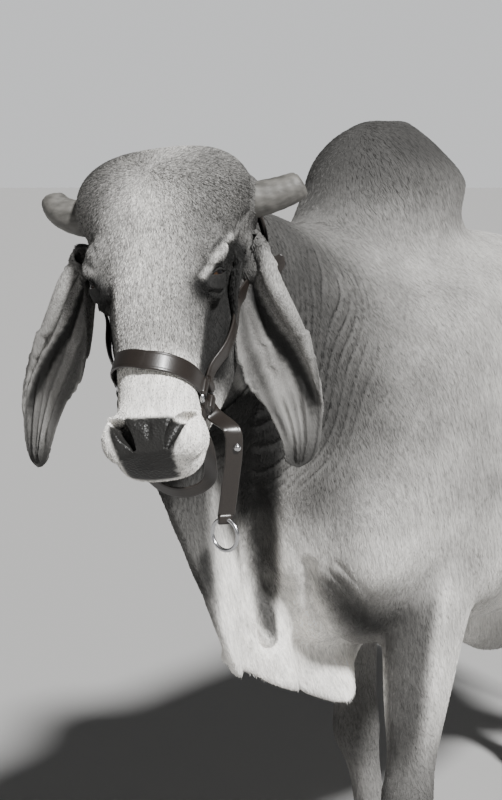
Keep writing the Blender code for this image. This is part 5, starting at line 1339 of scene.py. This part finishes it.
def skinStrap(inside, outward, width, lift=0.0018, count=120):
    # Follows the head along rows of rays, bowed across to rest on the skin at its edges and its middle.
    table = smoothRows(np.hstack([inside, unit(outward)]), 40)
    inside, outward = table[:, :3], unit(table[:, 3:])
    middle = onSkin(inside, outward)
    wide = unit(np.cross(np.gradient(middle, axis=0), outward))
    edges = [onSkin(inside + k * 0.46 * width * wide, outward) for k in (-1, 1)]
    rise = [((edge - middle) * outward).sum(axis=1) for edge in edges]
    smooth = np.column_stack([middle, wide, outward, (rise[0] + rise[1]) / 2])
    for turn in range(24):  # each row takes half of itself and a quarter of each neighbour
        keep = slice(0, 10) if turn < 5 else slice(3, 10)
        smooth[1:-1, keep] = (smooth[:-2, keep] + 2 * smooth[1:-1, keep] + smooth[2:, keep]) / 4
    table = smoothRows(smooth, count)
    out = unit(table[:, 6:9])
    middle = table[:, :3] + out * (lift + halter["thick"] / 2)
    return strapSheet(middle, unit(table[:, 3:6]), out, width, np.clip(table[:, 9:10], -0.004, 0.0015))


def freeStrap(rows, width):  # rows are x, y, z of its middle and the way of its width
    table = smoothRows(rows, 110)
    middle, wide = table[:, :3], unit(table[:, 3:6])
    out = unit(np.cross(np.gradient(middle, axis=0), wide))
    return strapSheet(middle, np.cross(out, unit(np.gradient(middle, axis=0))), out, width)


def ringTube(path, radius, sides=18):  # a wire carried round a closed path
    along = unit(np.roll(path, -1, 0) - np.roll(path, 1, 0))
    flat = unit(np.cross(path[0] - path.mean(axis=0), along[0]))
    side = unit(np.cross(along, flat))
    angle = circle(sides)[None, :, None]
    ring = path[:, None] + radius * (np.cos(angle) * side[:, None] + np.sin(angle) * flat[None, None])
    return ring.reshape(-1, 3), gridFaces(len(path) + 1, sides, True) % (len(path) * sides)


def ringPath(centre, across, up, half, power=2.0):  # |x/h|^p + |y/h|^p = 1: round at power 2, square above
    u, v = (rounded(w, power) * half for w in (np.cos(circle(80)), np.sin(circle(80))))
    return centre + u[:, None] * np.array(across) + v[:, None] * np.array(up)


def sleeve(centre, along, out, width):  # the strap's end, folded round the bar of a ring
    ends = ((-0.5, 0.8), (-0.46, 1), (0.46, 1), (0.5, 0.8))
    rows = [(*(centre + w * width * along), 0.0078 * k, 0.0058 * k, 0.0058 * k) for w, k in ends]
    return carry(rows, out, rings=12, sides=28, power=3.0)


def halterPiece(node, name, forms, finish):  # one piece of the halter, in place of its node
    obj = makeObject(name, *gathered(forms), finish)
    pieces.append(obj)
    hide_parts(node)


corner = {}  # each side ring's middle, and the ways ahead, up and out from it
for name, side in (("left", 1), ("right", -1)):
    y, z = 0.032, halter["ringPlace"][name]
    spots = fromHead([(0, y, z), (0, y - 0.018, z + 0.004), (0, y, z + 0.018)])
    bar, ahead, above = onSkin(spots, np.tile(headSpin @ np.array([side, 0.0, 0.0]), (3, 1)))
    ahead = unit(ahead - bar)
    out = unit(np.cross(above - bar, ahead) * side)
    up = unit(np.cross(ahead, out) * side)
    centre = bar + out * (0.0034 + 0.0022)
    corner[name] = (centre, ahead, up, out)
    half, wire = halter["squareRing"]
    squareRing = ringTube(ringPath(centre, ahead, up, half, 5.0), wire)
    halterPiece("side_ring_" + name, "squareRing_" + name, [squareRing], steelMat)
bar = halter["squareRing"][0]  # from a side ring's middle to the middle of each of its bars

middle = fromHead((0.0, 0.040, -0.386))[0]
left, right = corner["left"], corner["right"]
ends = [right[0] + right[1] * 0.022, left[0] + left[1] * 0.022]
rise = unit(fromHead((-0.004, -0.20, -0.384))[0] - middle)
spokes = []
for share in np.linspace(0, 1, 19):  # from one ring over the nose to the other
    swing = math.sin(math.pi * share)
    spokes.append(unit(ends[0] * (1 - share) + ends[1] * share - middle) * (1 - swing) + rise * swing * 1.6)
band = [skinStrap(np.tile(middle, (19, 1)), np.array(spokes), halter["noseband"], 0.0024, 220)]
band += [sleeve(c + f * bar, u, o, 0.024) for c, f, u, o in corner.values()]
halterPiece("noseband", "nosebandLeather", band, leatherMat)

cheek = mm([(45, -350), (55, -315), (66, -280), (80, -240), (98, -200), (118, -160)])  # back and up from the poll
for name, side in (("left", 1), ("right", -1)):
    c, f, u, o = corner[name]
    table = smoothRows(np.vstack([toHead(c + u * 0.022)[:, 1:], cheek]), 12)
    inside = fromHead(np.column_stack([np.zeros(12), table]))
    strap = skinStrap(inside, np.tile(headSpin @ np.array([side, 0.0, 0.0]), (12, 1)), halter["cheek"])
    forms = [strap, sleeve(c + u * bar, f, o, 0.022)]
    halterPiece("cheek_strap_" + name, "cheekLeather_" + name, forms, leatherMat)

angle = np.radians(np.linspace(-122, 122, 17))
inside = fromHead(np.column_stack([0 * angle, 0.117 + 0.022 * np.cos(angle), np.full(17, -0.110)]))
way = np.column_stack([np.sin(angle), np.full(17, 0.25), np.cos(angle)]) @ headSpin.T
freeEnd = mm([
    (193, -640, 1443, 10, 2.2, 2.2), (204.5, -638.5, 1449, 11.8, 2.2, 2.2),
    (210.5, -633.5, 1461, 11.5, 2.1, 2.1), (214.2, -630.5, 1472, 3, 1.6, 1.6),
])
forms = [skinStrap(inside, way, halter["crown"]), carry(freeEnd, (0.62, -0.78, 0.0), rings=30, sides=28, power=3.0)]
halterPiece("crown_strap", "crownLeather", forms, leatherMat)

loop = []
for name, order in (("left", 1), ("right", -1)):
    c, f, u, o = corner[name]
    end = c - u * 0.023
    loop += [(*end, *f), (*(end - u * 0.030 + o * 0.002), *f)][::order]
bottom = fromHead([(0.045, 0.118, -0.490), (0.0, 0.130, -0.505), (-0.045, 0.118, -0.480)])
across = headSpin @ np.array([0.0, -0.85, 0.4])
loop = loop[:2] + [(*p, *across) for p in bottom] + loop[2:]
forms = [freeStrap(loop, halter["chin"])] + [sleeve(c - u * bar, f, o, 0.020) for c, f, u, o in corner.values()]
halterPiece("chin_strap", "chinLeather", forms, leatherMat)

c, f, u, o = left
back = c - f * bar
wide = np.array([0.62, 0.78, 0.0])
out = np.array([0.78, -0.62, 0.0])
rows = [(*(back - f * 0.006), *u), (*(back - f * 0.016 - u * 0.010 + o * 0.004), *(u + wide))]
hangs = [(0.2868, -0.8446, 1.237), (0.2874, -0.8408, 1.205), (0.2786, -0.8377, 1.159), (0.2680, -0.8340, 1.111)]
rows += [(*spot, *wide) for spot in hangs]
foot = np.array([0.2664, -0.8349, 1.105])
forms = [freeStrap(rows, halter["hanging"]), sleeve(back, u, o, 0.020), sleeve(foot, unit(wide), out, 0.018)]
halterPiece("hanging_strap", "hangingLeather", forms, leatherMat)
half, wire = halter["leadRing"]
leadRing = ringTube(ringPath(foot - (0, 0, half), (1.0, 0, 0), (0, 0, 1.0), half), wire)
halterPiece("lead_ring", "leadRing", [leadRing], steelMat)
stud = blob(np.array([0.2905, -0.8384, 1.212]) + out * 0.003, (0.0058, 0.0058, 0.0058))
halterPiece("strap_stud", "strapStud", [stud], steelMat)
said("halter made")

for obj in pieces:  # onto the frame
    obj.data.transform(Matrix.Translation(shift))
    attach(obj, "root")
said("pieces on the frame")

# Floor, light and camera.
light = {
    "sky": (0.80, 0.81, 0.82, 1), "skyStrength": 0.14, "backdrop": 0.95, "sun": 7.4, "sunSize": 7,
    "sunWay": (0.65, -0.28, 0.71),
}
camera = {"place": (1.59993, -2.69431, 1.58499), "turn": 37.5845, "down": 8.2063, "focal": 1529.3}
floorReach, domeReach = 290, 300
square = np.array([(-1, -1, 0), (1, -1, 0), (1, 1, 0), (-1, 1, 0)], float) * floorReach
floorMat = plainMaterial("floor", (0.39, 0.386, 0.38), 0.9)[0]
floor = makeObject("floor", square, np.array([(0, 1, 2), (0, 2, 3)]), floorMat, sort=False)
world = bpy.data.worlds.new("studio")
scene.world = world
world.use_nodes = True
world.node_tree.nodes["Background"].inputs[0].default_value = light["sky"]
world.node_tree.nodes["Background"].inputs[1].default_value = light["skyStrength"]
skyMat = bpy.data.materials.new("backdrop")
skyMat.use_nodes = True
skyMat.node_tree.nodes.clear()
glow = addNode(skyMat.node_tree, "ShaderNodeEmission", {"Color": light["sky"], "Strength": light["backdrop"]})
addNode(skyMat.node_tree, "ShaderNodeOutputMaterial", {"Surface": glow.outputs[0]})
dome = makeObject("backdrop", *blob((0, 0, 0), (domeReach,) * 3, sides=48), skyMat, sort=False)
dome.visible_diffuse = dome.visible_glossy = dome.visible_shadow = dome.visible_transmission = False
turn, tip = math.radians(camera["turn"]), math.radians(camera["down"])
backward = Vector((math.sin(turn) * math.cos(tip), -math.cos(turn) * math.cos(tip), math.sin(tip)))
eye = bpy.data.objects.new("camera", bpy.data.cameras.new("camera"))
scene.collection.objects.link(eye)
eye.location = camera["place"]
eye.rotation_euler = (-backward).to_track_quat("-Z", "Y").to_euler()
eye.data.sensor_fit = "VERTICAL"
eye.data.sensor_height = 36
eye.data.lens = camera["focal"] / 800 * 36
eye.data.clip_end = 1000
scene.camera = eye
sun = bpy.data.objects.new("key", bpy.data.lights.new("key", "SUN"))
scene.collection.objects.link(sun)
sun.rotation_euler = Vector(light["sunWay"]).to_track_quat("Z", "Y").to_euler()
sun.data.energy = light["sun"]
sun.data.angle = math.radians(light["sunSize"])

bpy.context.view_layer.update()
said("scene ready")
